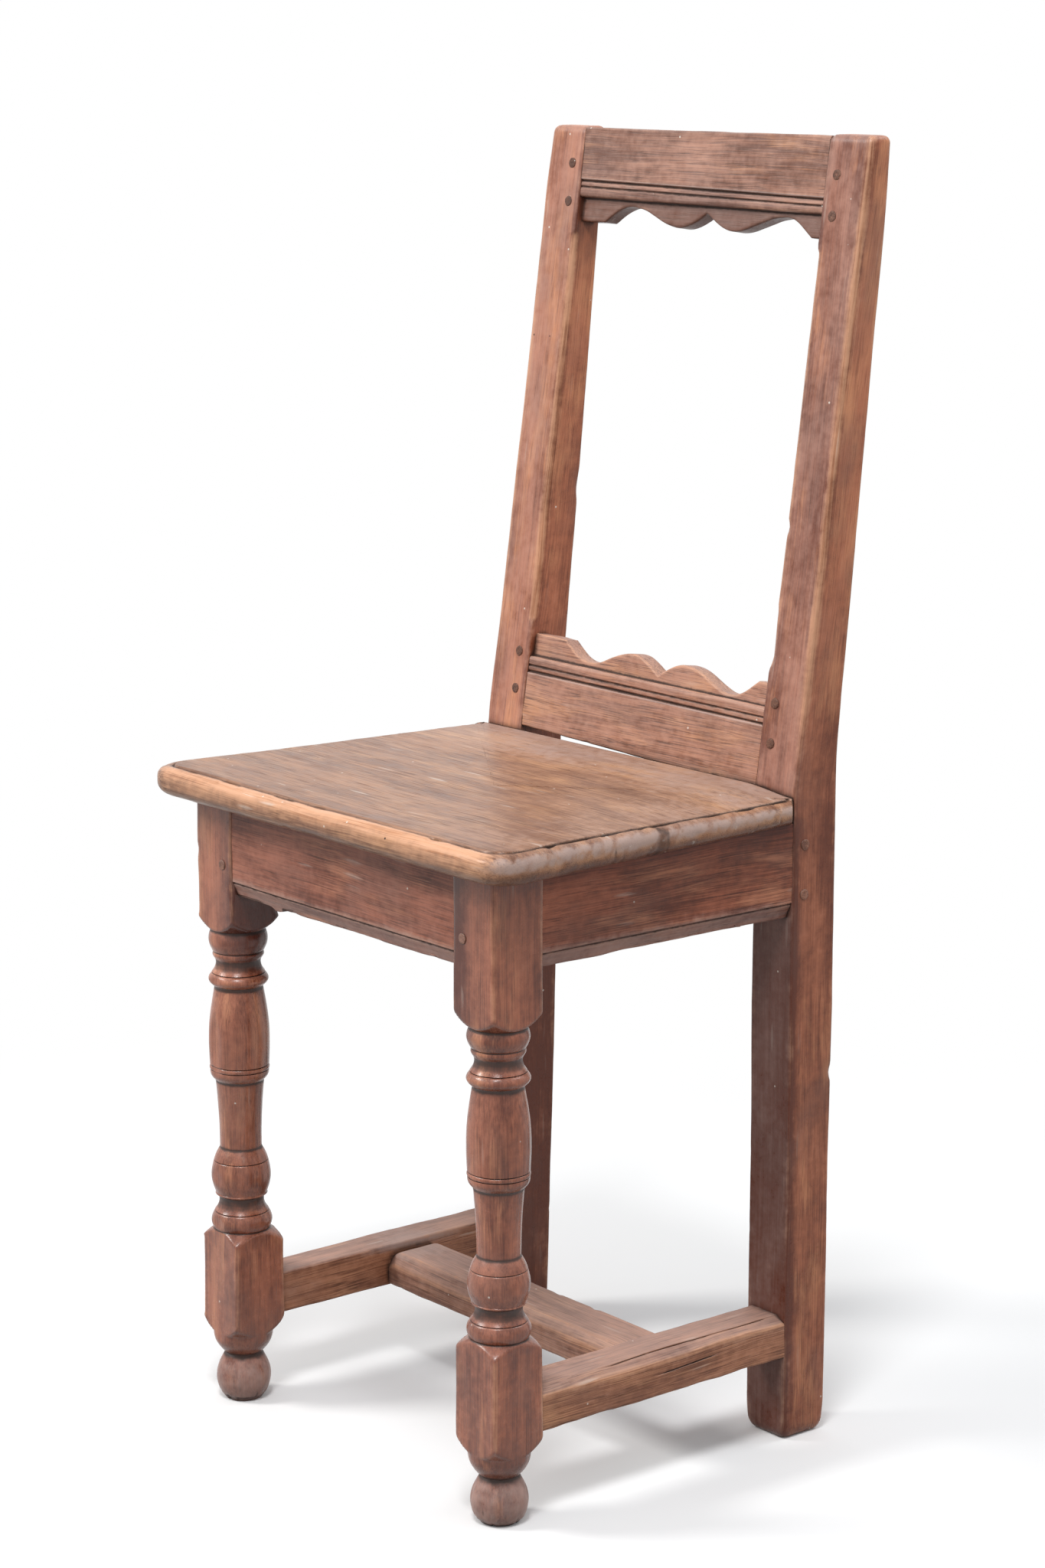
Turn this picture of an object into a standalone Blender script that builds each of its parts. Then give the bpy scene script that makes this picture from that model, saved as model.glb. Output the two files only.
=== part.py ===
"""Provincial side chair in oak: board seat, turned front legs, H stretcher and a raked open back.

Metres, +Z up. The chair faces -Y; left and right are as seen from the front, so right is +X.
The chair's empty stands on the floor under the middle of the chair's outline. Shapes under it are
drawn with x = 0 on the middle plane, y = 0 on the front faces of the front legs and z = 0 on the
floor. The back's empty lies in the raked front plane of the posts, at seat level: its x runs to
the right, its y up the slope and its z out of the front.
"""
import math

import bmesh
import bpy
from mathutils import Matrix, Vector

# Whole frame
OVERALL_HEIGHT = 0.930
FRAME_WIDTH = 0.342          # over the outer faces of legs and posts
FRAME_DEPTH = 0.270          # front faces of the legs to front faces of the posts
CLEARANCE = 0.0003           # between pieces that touch
EMBED = 0.006                # how far a tenon is rooted in its rail, or a cut overruns a face

# Front legs, turned from square blanks
LEG_SIZE = 0.043
LOWER_BLOCK_BOTTOM = 0.062
LOWER_BLOCK_HEIGHT = 0.058
UPPER_BLOCK_DROP = 0.019     # upper block below the seat rails
BLOCK_SHOULDER = 0.012       # height of the turned cone at the end of a block
TURNING_START = 0.0004       # cut into the blank's face where a turned stretch begins
# Each member: its height, the cut at its foot, and how far its middle swells
LEG_TURNING = (
    (0.005, 0.0004, 0.0000),
    (0.011, 0.0028, 0.0003),
    (0.016, 0.0020, -0.0030),
    (0.009, 0.0036, 0.0030),
    (0.060, 0.0002, 0.0017),
    (0.005, 0.0002, 0.0000),
    (0.011, 0.0040, -0.0006),
    (0.048, 0.0063, -0.0007),
    (0.001, 0.0056, 0.0000),
    (0.032, 0.0021, 0.0039),
    (0.001, 0.0039, 0.0000),
    (0.010, 0.0030, -0.0014),
    (0.017, 0.0001, 0.0009),
)
FOOT_TURNING = (
    (0.010, 0.0024, 0.0004),
    (0.005, 0.0058, 0.0000),
    (0.002, 0.0057, 0.0000),
    (0.034, 0.0085, 0.0068),
)
LATHE_STEPS = 24
LONG_MEMBER = 0.020          # members taller than this get more rings
SHORT_RINGS = 4
LONG_RINGS = 6

# Rear posts, each sawn from one plank
POST_WIDTH = 0.0405
POST_DEPTH = 0.041
POST_TOP_DEPTH = 0.0205
POST_BEND = 0.025            # above the seat, where the rear face starts to lean
BACK_RAKE = 0.062            # how far the top stands behind the seat's rear edge
POST_ARRIS = 0.0015
BACK_CHAMFER = 0.005         # stopped chamfer on the inner front arrises
CHAMFER_STOP = 0.004

# Seat board
SEAT_HEIGHT = 0.480
SEAT_THICKNESS = 0.022
SEAT_FRONT_WIDTH = 0.414
SEAT_REAR_WIDTH = 0.360
SEAT_OVERHANG = 0.024        # in front of the legs
SEAT_CORNER = 0.016
SEAT_NOSE = 0.009            # radius of the moulded edge
SEAT_NOSE_RINGS = 3
CORNER_STEPS = 5
QUIRK_INSET = 0.0012         # groove inside the moulded edge
QUIRK_RADIUS = 0.0011
QUIRK_RINGS = 1

# Seat rails
RAIL_HEIGHT = 0.069
RAIL_THICKNESS = 0.024
RAIL_SETBACK = 0.001
RAIL_CHAMFER_HEIGHT = 0.011
RAIL_CHAMFER_DEPTH = 0.005
REAR_RAIL_SETBACK = 0.010    # behind the front faces of the posts

# Stretchers
STRETCHER_RISE = 0.001       # above the bottom of the lower block
STRETCHER_WIDTH = 0.036
STRETCHER_HEIGHT = 0.0315
STRETCHER_SETBACK = 0.0005
STRETCHER_CHAMFER_WIDTH = 0.0065
STRETCHER_CHAMFER_HEIGHT = 0.005
CROSS_DEPTH = 0.042
CROSS_HEIGHT = 0.0265
CROSS_OFFSET = 0.0095        # behind the middle of the side stretchers
CROSS_CHAMFER_WIDTH = 0.0045
CROSS_CHAMFER_HEIGHT = 0.009

# Back rails
BACK_RAIL_HEIGHT = 0.0725
BACK_RAIL_THICKNESS = 0.018
BACK_RAIL_SETBACK = 0.0005
SEAT_GAP = 0.003             # under the lower back rail
CREST_DROP = 0.0005          # crest rail below the tops of the posts
LIP_HEIGHT = 0.018           # scalloped lip beyond the moulding
LIP_RECESS = 0.005
BAND_HEIGHT = 0.0125         # moulded band between groove and lip
BAND_NOSE = 0.003
BAND_NOSE_END = 100.0        # degrees, where the rounded nose runs out on the face
GROOVE_DEPTH = 0.0012
SCALLOP_FOOT = 0.0135        # the narrower foot of the scalloped edge
SCALLOP_DEPTH = 0.013
NICK_DEPTH = 0.0115          # the pointed nick between the two lobes
CREST_SCALLOP_SHIFT = 0.0065
LOWER_SCALLOP_SHIFT = 0.0105
HOLLOW_PLACE = 0.74          # along the scallop's half length, from the nick
LOBE_PLACE = 0.27
SCALLOP_STEPS = 6

# Joints
TENON_THICKNESS = 0.010
TENON_LENGTH = 0.026
TENON_WALL = 0.002           # wood between two tenons that meet in one leg
RAIL_TENON_BOTTOM = 0.006
RAIL_TENON_TOP = 0.008
STRETCHER_TENON_SHOULDER = 0.006
CROSS_TENON_LENGTH = 0.022
CROSS_TENON_SHOULDER = 0.007
BACK_TENON_THICKNESS = 0.006
BACK_TENON_LENGTH = 0.024
BACK_TENON_SHOULDER = 0.009

# Pegs and dowels
PEG_DIAMETER = 0.008
PEG_SET = 0.011              # peg's axis from the shoulder of its joint
PEG_PROUD = 0.0006
PEG_PAST = 0.004             # peg beyond the far cheek of the tenon
PEG_ARRIS = 0.0005
RAIL_PEG_INSET = 0.0165      # from the rail's top and bottom edges
FRONT_PEG_RISE = 0.0225      # above the front rail's bottom edge
BACK_PEG_LOW = 0.017         # from the tip of the scalloped edge
BACK_PEG_HIGH = 0.0455
DOWEL_DIAMETER = 0.008
DOWEL_IN_RAIL = 0.014
DOWEL_IN_SEAT = 0.011
FRONT_DOWEL_SPACING = 0.140
SIDE_DOWEL_SPACING = 0.120
ROUND_SIDES = 12
SHARP_ANGLE = math.radians(45.0)

# Colours of the oak, linear
OAK_LEG = (0.125, 0.050, 0.026)
OAK_POST = (0.150, 0.065, 0.037)
OAK_SEAT = (0.200, 0.110, 0.065)
OAK_RAIL = (0.120, 0.047, 0.026)
OAK_STRETCHER = (0.165, 0.080, 0.048)
OAK_BACK = (0.160, 0.070, 0.038)
OAK_PEG = (0.175, 0.090, 0.055)
OAK_ROUGHNESS = 0.55

# Places worked out from the sizes above
SEAT_UNDERSIDE = SEAT_HEIGHT - SEAT_THICKNESS
RAIL_TOP = SEAT_UNDERSIDE - CLEARANCE
RAIL_BOTTOM = RAIL_TOP - RAIL_HEIGHT
OUTER = FRAME_WIDTH / 2
LEG_INNER = OUTER - LEG_SIZE
POST_INNER = OUTER - POST_WIDTH
POST_REAR = FRAME_DEPTH + POST_DEPTH
TOP_REAR = FRAME_DEPTH + BACK_RAKE + POST_TOP_DEPTH
UPPER_BLOCK_BOTTOM = RAIL_BOTTOM - UPPER_BLOCK_DROP
LOWER_BLOCK_TOP = LOWER_BLOCK_BOTTOM + LOWER_BLOCK_HEIGHT
RAKE_ANGLE = math.atan2(BACK_RAKE, OVERALL_HEIGHT - SEAT_HEIGHT)
SLOPE_LENGTH = math.hypot(BACK_RAKE, OVERALL_HEIGHT - SEAT_HEIGHT)
SIDE_RAIL_MIDDLE = OUTER - RAIL_SETBACK - RAIL_THICKNESS / 2
FRONT_RAIL_MIDDLE = RAIL_SETBACK + RAIL_THICKNESS / 2
REAR_RAIL_MIDDLE = FRAME_DEPTH + REAR_RAIL_SETBACK + RAIL_THICKNESS / 2
END_TENON_TIP = SIDE_RAIL_MIDDLE - TENON_THICKNESS / 2 - TENON_WALL
STRETCHER_BOTTOM = LOWER_BLOCK_BOTTOM + STRETCHER_RISE
STRETCHER_TOP = STRETCHER_BOTTOM + STRETCHER_HEIGHT
STRETCHER_OUTER = OUTER - STRETCHER_SETBACK
STRETCHER_INNER = STRETCHER_OUTER - STRETCHER_WIDTH
CROSS_MIDDLE = (LEG_SIZE + FRAME_DEPTH) / 2 + CROSS_OFFSET
CROSS_TOP = STRETCHER_BOTTOM + CROSS_HEIGHT
SEAT_REAR = FRAME_DEPTH - CLEARANCE
SEAT_LEAN = math.atan2((SEAT_FRONT_WIDTH - SEAT_REAR_WIDTH) / 2, SEAT_REAR + SEAT_OVERHANG)
LEG_HALF_DIAGONAL = LEG_SIZE / math.sqrt(2.0)
LEG_REACH = LEG_HALF_DIAGONAL + EMBED
BACK_RAIL_MIDDLE = -BACK_RAIL_SETBACK - BACK_RAIL_THICKNESS / 2
BACK_RAIL_HALF = POST_INNER - CLEARANCE
SIDES = (("left", -1), ("right", 1))
X, Y, Z = range(3)
ACROSS = {X: (Y, Z), Y: (X, Z), Z: (X, Y)}


def clear_scene():
    for old in list(bpy.data.objects):
        bpy.data.objects.remove(old, do_unlink=True)


def new_collection(name):
    collection = bpy.data.collections.new(name)
    bpy.context.scene.collection.children.link(collection)
    return collection


def new_empty(name, parent, location, tilt):
    empty = bpy.data.objects.new(name, None)
    CHAIR.objects.link(empty)
    empty.parent = parent
    empty.location = location
    empty.rotation_euler = (tilt, 0.0, 0.0)
    return empty


def oak(name, colour):
    material = bpy.data.materials.new(name + "_oak")
    material.use_nodes = True
    shader = material.node_tree.nodes["Principled BSDF"]
    shader.inputs["Base Color"].default_value = (*colour, 1.0)
    shader.inputs["Roughness"].default_value = OAK_ROUGHNESS
    shader.inputs["Metallic"].default_value = 0.0
    return material


def piece(name, mesh, frame, colour):
    """One sub-part of the chair, drawn in the given frame."""
    mesh.name = name
    made = bpy.data.objects.new(name, mesh)
    CHAIR.objects.link(made)
    made.parent = frame
    mesh.materials.append(oak(name, colour))
    return made


def tool(name, mesh, frame):
    """A solid that only cuts or joins, kept out of the chair."""
    mesh.name = name
    made = bpy.data.objects.new(name, mesh)
    made.parent = frame
    made.hide_render = True
    made.display_type = "WIRE"
    return made


def combine(target, operand, operation):
    """Joins the operand to the target or cuts it away, in one step with all others of that operation.

    The steps follow the order of their first operands, so a rail gets its tenons before its cuts.
    """
    key = f"{target.name}_{operation.lower()}"
    if key not in OPERANDS:
        OPERANDS[key] = bpy.data.collections.new(key)
        TOOLS.children.link(OPERANDS[key])
        modifier = target.modifiers.new(key, "BOOLEAN")
        modifier.operation = operation
        modifier.solver = "EXACT"
        modifier.operand_type = "COLLECTION"
        modifier.collection = OPERANDS[key]
    OPERANDS[key].objects.link(operand)


def round_arrises(target, width):
    modifier = target.modifiers.new("arris", "BEVEL")
    modifier.width = width
    modifier.segments = 1
    modifier.limit_method = "ANGLE"
    modifier.angle_limit = SHARP_ANGLE


def mesh_of(bm):
    mesh = bpy.data.meshes.new("mesh")
    bm.to_mesh(mesh)
    bm.free()
    return mesh


def box(low, high):
    low, high = Vector(low), Vector(high)
    bm = bmesh.new()
    bmesh.ops.create_cube(bm, size=1.0, matrix=Matrix.LocRotScale((low + high) / 2, None, high - low))
    return mesh_of(bm)


def rod(start, end, radius):
    start, end = Vector(start), Vector(end)
    turn = (end - start).to_track_quat("Z", "Y")
    bm = bmesh.new()
    bmesh.ops.create_cone(
        bm, cap_ends=True, segments=ROUND_SIDES, radius1=radius, radius2=radius,
        depth=(end - start).length, matrix=Matrix.LocRotScale((start + end) / 2, turn, None))
    mesh = mesh_of(bm)
    mesh.shade_smooth()
    mesh.set_sharp_from_angle(angle=SHARP_ANGLE)
    return mesh


def curve_through(points, closed):
    curve = bpy.data.curves.new("outline", "CURVE")
    spline = curve.splines.new("POLY")
    spline.points.add(len(points) - 1)
    for control, (a, b) in zip(spline.points, points):
        control.co = (a, b, 0.0, 1.0)
    spline.use_cyclic_u = closed
    return curve


def solid_from_curve(curve, matrix):
    """The curve's evaluated solid, welded and turned into place."""
    holder = bpy.data.objects.new("holder", curve)
    bpy.context.scene.collection.objects.link(holder)
    bpy.context.view_layer.update()
    mesh = bpy.data.meshes.new_from_object(holder.evaluated_get(bpy.context.evaluated_depsgraph_get()))
    bpy.data.objects.remove(holder)
    bpy.data.curves.remove(curve)
    bm = bmesh.new()
    bm.from_mesh(mesh)
    bpy.data.meshes.remove(mesh)
    bmesh.ops.remove_doubles(bm, verts=bm.verts, dist=CLEARANCE / 10)
    bmesh.ops.transform(bm, matrix=matrix, verts=bm.verts)
    bmesh.ops.recalc_face_normals(bm, faces=bm.faces)
    return mesh_of(bm)


def extruded(points, axis, low, high):
    """A closed outline drawn across one axis, in the order of the other two, and run along it."""
    curve = curve_through(points, True)
    curve.dimensions = "2D"
    curve.fill_mode = "BOTH"
    curve.extrude = (high - low) / 2
    first, second = ACROSS[axis]
    place = Matrix.Diagonal((0.0, 0.0, 0.0, 1.0))
    place[first][0] = 1.0
    place[second][1] = 1.0
    place[axis][2] = 1.0
    place[axis][3] = (low + high) / 2
    return solid_from_curve(curve, place)


def arc(centre, radius, start, end, steps):
    angles = [math.radians(start + (end - start) * step / steps) for step in range(steps + 1)]
    return [(centre[0] + radius * math.cos(angle), centre[1] + radius * math.sin(angle)) for angle in angles]


def block(axis, start, end, low, high, ease):
    """A box along one axis, with its cross-section moved out by ease on all sides."""
    first, second = ACROSS[axis]
    near, far = Vector(), Vector()
    near[axis], far[axis] = min(start, end), max(start, end)
    near[first], near[second] = low[0] - ease, low[1] - ease
    far[first], far[second] = high[0] + ease, high[1] + ease
    return box(near, far)


def joint(name, rail, receiver, frame, axis, root, tip, low, high):
    """A tenon on the rail, from root to tip along one axis, and its mortise in the receiver."""
    way = math.copysign(1.0, tip - root)
    start = root - way * EMBED
    tenon = tool(name + "_tenon", block(axis, start, tip, low, high, 0.0), frame)
    combine(rail, tenon, "UNION")
    end = tip + way * CLEARANCE
    mortise = tool(name + "_mortise", block(axis, start, end, low, high, CLEARANCE), frame)
    combine(receiver, mortise, "DIFFERENCE")


def pin(name, frame, head, tip, diameter, holed):
    """A round wooden pin from head to tip, and its hole in each piece that it passes."""
    head, tip = Vector(head), Vector(tip)
    made = piece(name, rod(head, tip, diameter / 2), frame, OAK_PEG)
    round_arrises(made, PEG_ARRIS)
    ease = (tip - head).normalized() * CLEARANCE
    hole = tool(name + "_hole", rod(head - ease, tip + ease, diameter / 2 + CLEARANCE), frame)
    for target in holed:
        combine(target, hole, "DIFFERENCE")


def turned_stretch(members, top, bottom):
    """Profile of a row of turned members that fills the height between two levels."""
    scale = (top - bottom) / sum(height for height, cut, swell in members)
    level, cut = top, TURNING_START
    points = [(LEG_SIZE / 2 - cut, level)]
    for height, next_cut, swell in members:
        rings = LONG_RINGS if height > LONG_MEMBER else SHORT_RINGS
        if swell == 0.0:
            rings = 1
        for ring in range(1, rings + 1):
            share = ring / rings
            face = LEG_SIZE / 2 - cut - (next_cut - cut) * share
            points.append((face + swell * math.sin(math.pi * share), level - height * scale * share))
        level -= height * scale
        cut = next_cut
    return points


def shoulder(radius, level, way):
    """Where the cone from a turned stretch, through the block's arrises at level, leaves the blank."""
    slope = BLOCK_SHOULDER / (LEG_HALF_DIAGONAL - radius)
    return (LEG_REACH, level + way * slope * (LEG_REACH - LEG_HALF_DIAGONAL))


def leg_profile():
    """Half outline of a front leg as turned, from top to bottom, wider than the blank at its blocks."""
    top = RAIL_TOP + EMBED
    stem = turned_stretch(LEG_TURNING, UPPER_BLOCK_BOTTOM - BLOCK_SHOULDER, LOWER_BLOCK_TOP + BLOCK_SHOULDER)
    foot = turned_stretch(FOOT_TURNING, LOWER_BLOCK_BOTTOM - BLOCK_SHOULDER, 0.0)
    profile = [(0.0, top), (LEG_REACH, top), shoulder(stem[0][0], UPPER_BLOCK_BOTTOM, 1)]
    profile += stem
    profile += [shoulder(stem[-1][0], LOWER_BLOCK_TOP, -1), shoulder(foot[0][0], LOWER_BLOCK_BOTTOM, 1)]
    profile += foot
    profile.append((0.0, 0.0))
    return profile


def front_leg(name, side):
    points = [(radius, 0.0, level) for radius, level in leg_profile()]
    mesh = bpy.data.meshes.new(name)
    mesh.from_pydata(points, [(index, index + 1) for index in range(len(points) - 1)], [])
    leg = piece(name, mesh, CHAIR_FRAME, OAK_LEG)
    leg.location = (side * (OUTER - LEG_SIZE / 2), LEG_SIZE / 2, 0.0)
    leg.rotation_euler.z = math.pi / LATHE_STEPS
    screw = leg.modifiers.new("turning", "SCREW")
    screw.steps = LATHE_STEPS
    screw.render_steps = LATHE_STEPS
    screw.use_merge_vertices = True
    screw.merge_threshold = CLEARANCE / 10
    low, high = sorted((side * LEG_INNER, side * OUTER))
    blank = tool(name + "_blank", box((low, 0.0, -EMBED), (high, LEG_SIZE, RAIL_TOP)), CHAIR_FRAME)
    combine(leg, blank, "INTERSECT")
    return leg


def rear_post(name, side):
    outline = [
        (FRAME_DEPTH, 0.0),
        (FRAME_DEPTH, SEAT_HEIGHT),
        (FRAME_DEPTH + BACK_RAKE, OVERALL_HEIGHT),
        (TOP_REAR, OVERALL_HEIGHT),
        (POST_REAR, SEAT_HEIGHT + POST_BEND),
        (POST_REAR, 0.0),
    ]
    low, high = sorted((side * POST_INNER, side * OUTER))
    post = piece(name, extruded(outline, X, low, high), CHAIR_FRAME, OAK_POST)
    round_arrises(post, POST_ARRIS)
    start = SEAT_GAP + BACK_RAIL_HEIGHT + CHAMFER_STOP
    end = SLOPE_LENGTH - CREST_DROP - BACK_RAIL_HEIGHT - CHAMFER_STOP
    centre = (side * (POST_INNER - BACK_CHAMFER / 2), BACK_CHAMFER / 2)
    cut = edge_bar(centre, 2 * BACK_CHAMFER, Y, start, end)
    combine(post, tool(name + "_chamfer", cut, BACK_FRAME), "DIFFERENCE")
    return post


def edge_bar(centre, reach, axis, start, end):
    """A square bar along one axis that stands on edge, its edges at reach from its centre line."""
    first, second = ACROSS[axis]
    middle, size = Vector(), Vector()
    middle[first], middle[second], middle[axis] = centre[0], centre[1], (start + end) / 2
    size[first], size[second], size[axis] = reach * math.sqrt(2.0), reach * math.sqrt(2.0), end - start
    turn = Matrix.Rotation(math.pi / 4, 4, "XYZ"[axis])
    place = Matrix.Translation(middle) @ turn @ Matrix.Diagonal((*size, 1.0))
    bm = bmesh.new()
    bmesh.ops.create_cube(bm, size=1.0, matrix=place)
    return mesh_of(bm)


def rail_section(face, way):
    """Cross-section of a seat rail behind its outer face, with the chamfer along its lower edge."""
    back = face - way * RAIL_THICKNESS
    return [
        (face - way * RAIL_CHAMFER_DEPTH, RAIL_BOTTOM),
        (back, RAIL_BOTTOM),
        (back, RAIL_TOP),
        (face, RAIL_TOP),
        (face, RAIL_BOTTOM + RAIL_CHAMFER_HEIGHT),
    ]


def end_rail(name, section, middle, inner, receivers):
    """A seat rail across the chair, tenoned into the two pieces beside it."""
    half = inner - CLEARANCE
    rail = piece(name, extruded(section, X, -half, half), CHAIR_FRAME, OAK_RAIL)
    low = (middle - TENON_THICKNESS / 2, RAIL_BOTTOM + RAIL_TENON_BOTTOM)
    high = (middle + TENON_THICKNESS / 2, RAIL_TOP - RAIL_TENON_TOP)
    for side_name, side in SIDES:
        joint(f"{name}_{side_name}", rail, receivers[side], CHAIR_FRAME, X,
              side * half, side * END_TENON_TIP, low, high)
    return rail


def front_to_back(name, section, middle, bottom, top, colour, side):
    """A rail or stretcher along one side, tenoned into the front leg and the rear post."""
    front, rear = LEG_SIZE + CLEARANCE, FRAME_DEPTH - CLEARANCE
    rail = piece(name, extruded(section, Y, front, rear), CHAIR_FRAME, colour)
    low = (middle - TENON_THICKNESS / 2, bottom)
    high = (middle + TENON_THICKNESS / 2, top)
    joint(name + "_front", rail, LEGS[side], CHAIR_FRAME, Y, front, LEG_SIZE - TENON_LENGTH, low, high)
    joint(name + "_rear", rail, POSTS[side], CHAIR_FRAME, Y, rear, FRAME_DEPTH + TENON_LENGTH, low, high)
    return rail


def side_rail(name, side):
    section = rail_section(side * (OUTER - RAIL_SETBACK), side)
    return front_to_back(name, section, side * SIDE_RAIL_MIDDLE, RAIL_BOTTOM + RAIL_TENON_BOTTOM,
                         RAIL_TOP - RAIL_TENON_TOP, OAK_RAIL, side)


def side_stretcher(name, side):
    section = [
        (side * STRETCHER_OUTER, STRETCHER_BOTTOM),
        (side * STRETCHER_OUTER, STRETCHER_TOP - STRETCHER_CHAMFER_HEIGHT),
        (side * (STRETCHER_OUTER - STRETCHER_CHAMFER_WIDTH), STRETCHER_TOP),
        (side * STRETCHER_INNER, STRETCHER_TOP),
        (side * STRETCHER_INNER, STRETCHER_BOTTOM),
    ]
    middle = side * (STRETCHER_OUTER - STRETCHER_WIDTH / 2)
    return front_to_back(name, section, middle, STRETCHER_BOTTOM + STRETCHER_TENON_SHOULDER,
                         STRETCHER_TOP - STRETCHER_TENON_SHOULDER, OAK_STRETCHER, side)


def cross_stretcher(name):
    front, rear = CROSS_MIDDLE - CROSS_DEPTH / 2, CROSS_MIDDLE + CROSS_DEPTH / 2
    section = [
        (front, STRETCHER_BOTTOM),
        (rear, STRETCHER_BOTTOM),
        (rear, CROSS_TOP),
        (front + CROSS_CHAMFER_WIDTH, CROSS_TOP),
        (front, CROSS_TOP - CROSS_CHAMFER_HEIGHT),
    ]
    half = STRETCHER_INNER - CLEARANCE
    bar = piece(name, extruded(section, X, -half, half), CHAIR_FRAME, OAK_STRETCHER)
    low = (front + CROSS_TENON_SHOULDER, STRETCHER_BOTTOM + STRETCHER_TENON_SHOULDER)
    high = (rear - CROSS_TENON_SHOULDER, CROSS_TOP - STRETCHER_TENON_SHOULDER)
    for side_name, side in SIDES:
        joint(f"{name}_{side_name}", bar, STRETCHERS[side], CHAIR_FRAME, X,
              side * half, side * (STRETCHER_INNER + CROSS_TENON_LENGTH), low, high)
    return bar


def scallop(shift):
    """Rise of a scalloped edge along x: foot, hollow, lobe, pointed nick, and the same mirrored."""
    span = BACK_RAIL_HALF - SCALLOP_FOOT - abs(shift)
    hollow, lobe = HOLLOW_PLACE * span, LOBE_PLACE * span
    shares = [step / SCALLOP_STEPS for step in range(1, SCALLOP_STEPS + 1)]
    half = [(span, 0.0)]
    for share in shares:
        half.append((span + (hollow - span) * share, SCALLOP_DEPTH * math.sin(math.pi / 2 * share)))
    for share in shares:
        half.append((hollow + (lobe - hollow) * share, SCALLOP_DEPTH * (1 + math.cos(math.pi * share)) / 2))
    for share in shares:
        half.append((lobe * (1 - share), NICK_DEPTH * (1 - math.cos(math.pi / 2 * share))))
    left = [(shift - reach, rise) for reach, rise in half]
    right = [(shift + reach, rise) for reach, rise in reversed(half[:-1])]
    return left + right


def back_rail(name, tip, way, shift):
    """A rail of the back with its scalloped edge at tip; way leads from that edge to the plain one."""
    plain = tip + way * BACK_RAIL_HEIGHT
    outline = [(-BACK_RAIL_HALF, plain), (-BACK_RAIL_HALF, tip)]
    outline += [(x, tip + way * rise) for x, rise in scallop(shift)]
    outline += [(BACK_RAIL_HALF, tip), (BACK_RAIL_HALF, plain)]
    face, rear = -BACK_RAIL_SETBACK, -BACK_RAIL_SETBACK - BACK_RAIL_THICKNESS
    rail = piece(name, extruded(outline, Z, rear, face), BACK_FRAME, OAK_BACK)
    bottom, top = sorted((tip, plain))
    low = (bottom + BACK_TENON_SHOULDER, BACK_RAIL_MIDDLE - BACK_TENON_THICKNESS / 2)
    high = (top - BACK_TENON_SHOULDER, BACK_RAIL_MIDDLE + BACK_TENON_THICKNESS / 2)
    for side_name, side in SIDES:
        joint(f"{name}_{side_name}", rail, POSTS[side], BACK_FRAME, X,
              side * BACK_RAIL_HALF, side * (POST_INNER + BACK_TENON_LENGTH), low, high)
    line = tip + way * LIP_HEIGHT
    nose = arc((0.0, 0.0), BAND_NOSE, 180.0, BAND_NOSE_END, SHORT_RINGS)
    rebate = [(tip - way * EMBED, face - LIP_RECESS), (line, face - LIP_RECESS)]
    rebate += [(line + way * (BAND_NOSE + along), face - BAND_NOSE + out) for along, out in nose]
    rebate += [(rebate[-1][0], EMBED), (tip - way * EMBED, EMBED)]
    reach = BACK_RAIL_HALF + EMBED
    combine(rail, tool(name + "_rebate", extruded(rebate, X, -reach, reach), BACK_FRAME), "DIFFERENCE")
    groove = edge_bar((line + way * BAND_HEIGHT, face + GROOVE_DEPTH), 2 * GROOVE_DEPTH, X, -reach, reach)
    combine(rail, tool(name + "_groove", groove, BACK_FRAME), "DIFFERENCE")
    stop = BACK_RAIL_MIDDLE - BACK_TENON_THICKNESS / 2 - PEG_PAST
    for side_name, side in SIDES:
        for place, rise in (("outer", BACK_PEG_HIGH), ("inner", BACK_PEG_LOW)):
            x, y = side * (POST_INNER + PEG_SET), tip + way * rise
            pin(f"{side_name}_{name}_peg_{place}", BACK_FRAME, (x, y, PEG_PROUD), (x, y, stop),
                PEG_DIAMETER, (POSTS[side], rail))
    return rail


def seat_edge(inset):
    """The seat's edge seen from above, moved in by inset, from behind its rear left to its rear right."""
    front, rear = -SEAT_OVERHANG, SEAT_REAR + SEAT_NOSE + EMBED
    radius = SEAT_CORNER - inset
    lean = math.tan(SEAT_LEAN)
    middle_y = front + SEAT_CORNER
    middle_x = SEAT_FRONT_WIDTH / 2 - SEAT_CORNER * lean - SEAT_CORNER / math.cos(SEAT_LEAN)
    right = arc((middle_x, middle_y), radius, -90.0, math.degrees(SEAT_LEAN), CORNER_STEPS)
    right.append((SEAT_FRONT_WIDTH / 2 - (rear - front) * lean - inset / math.cos(SEAT_LEAN), rear))
    return [(-x, y) for x, y in reversed(right)] + right


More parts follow.
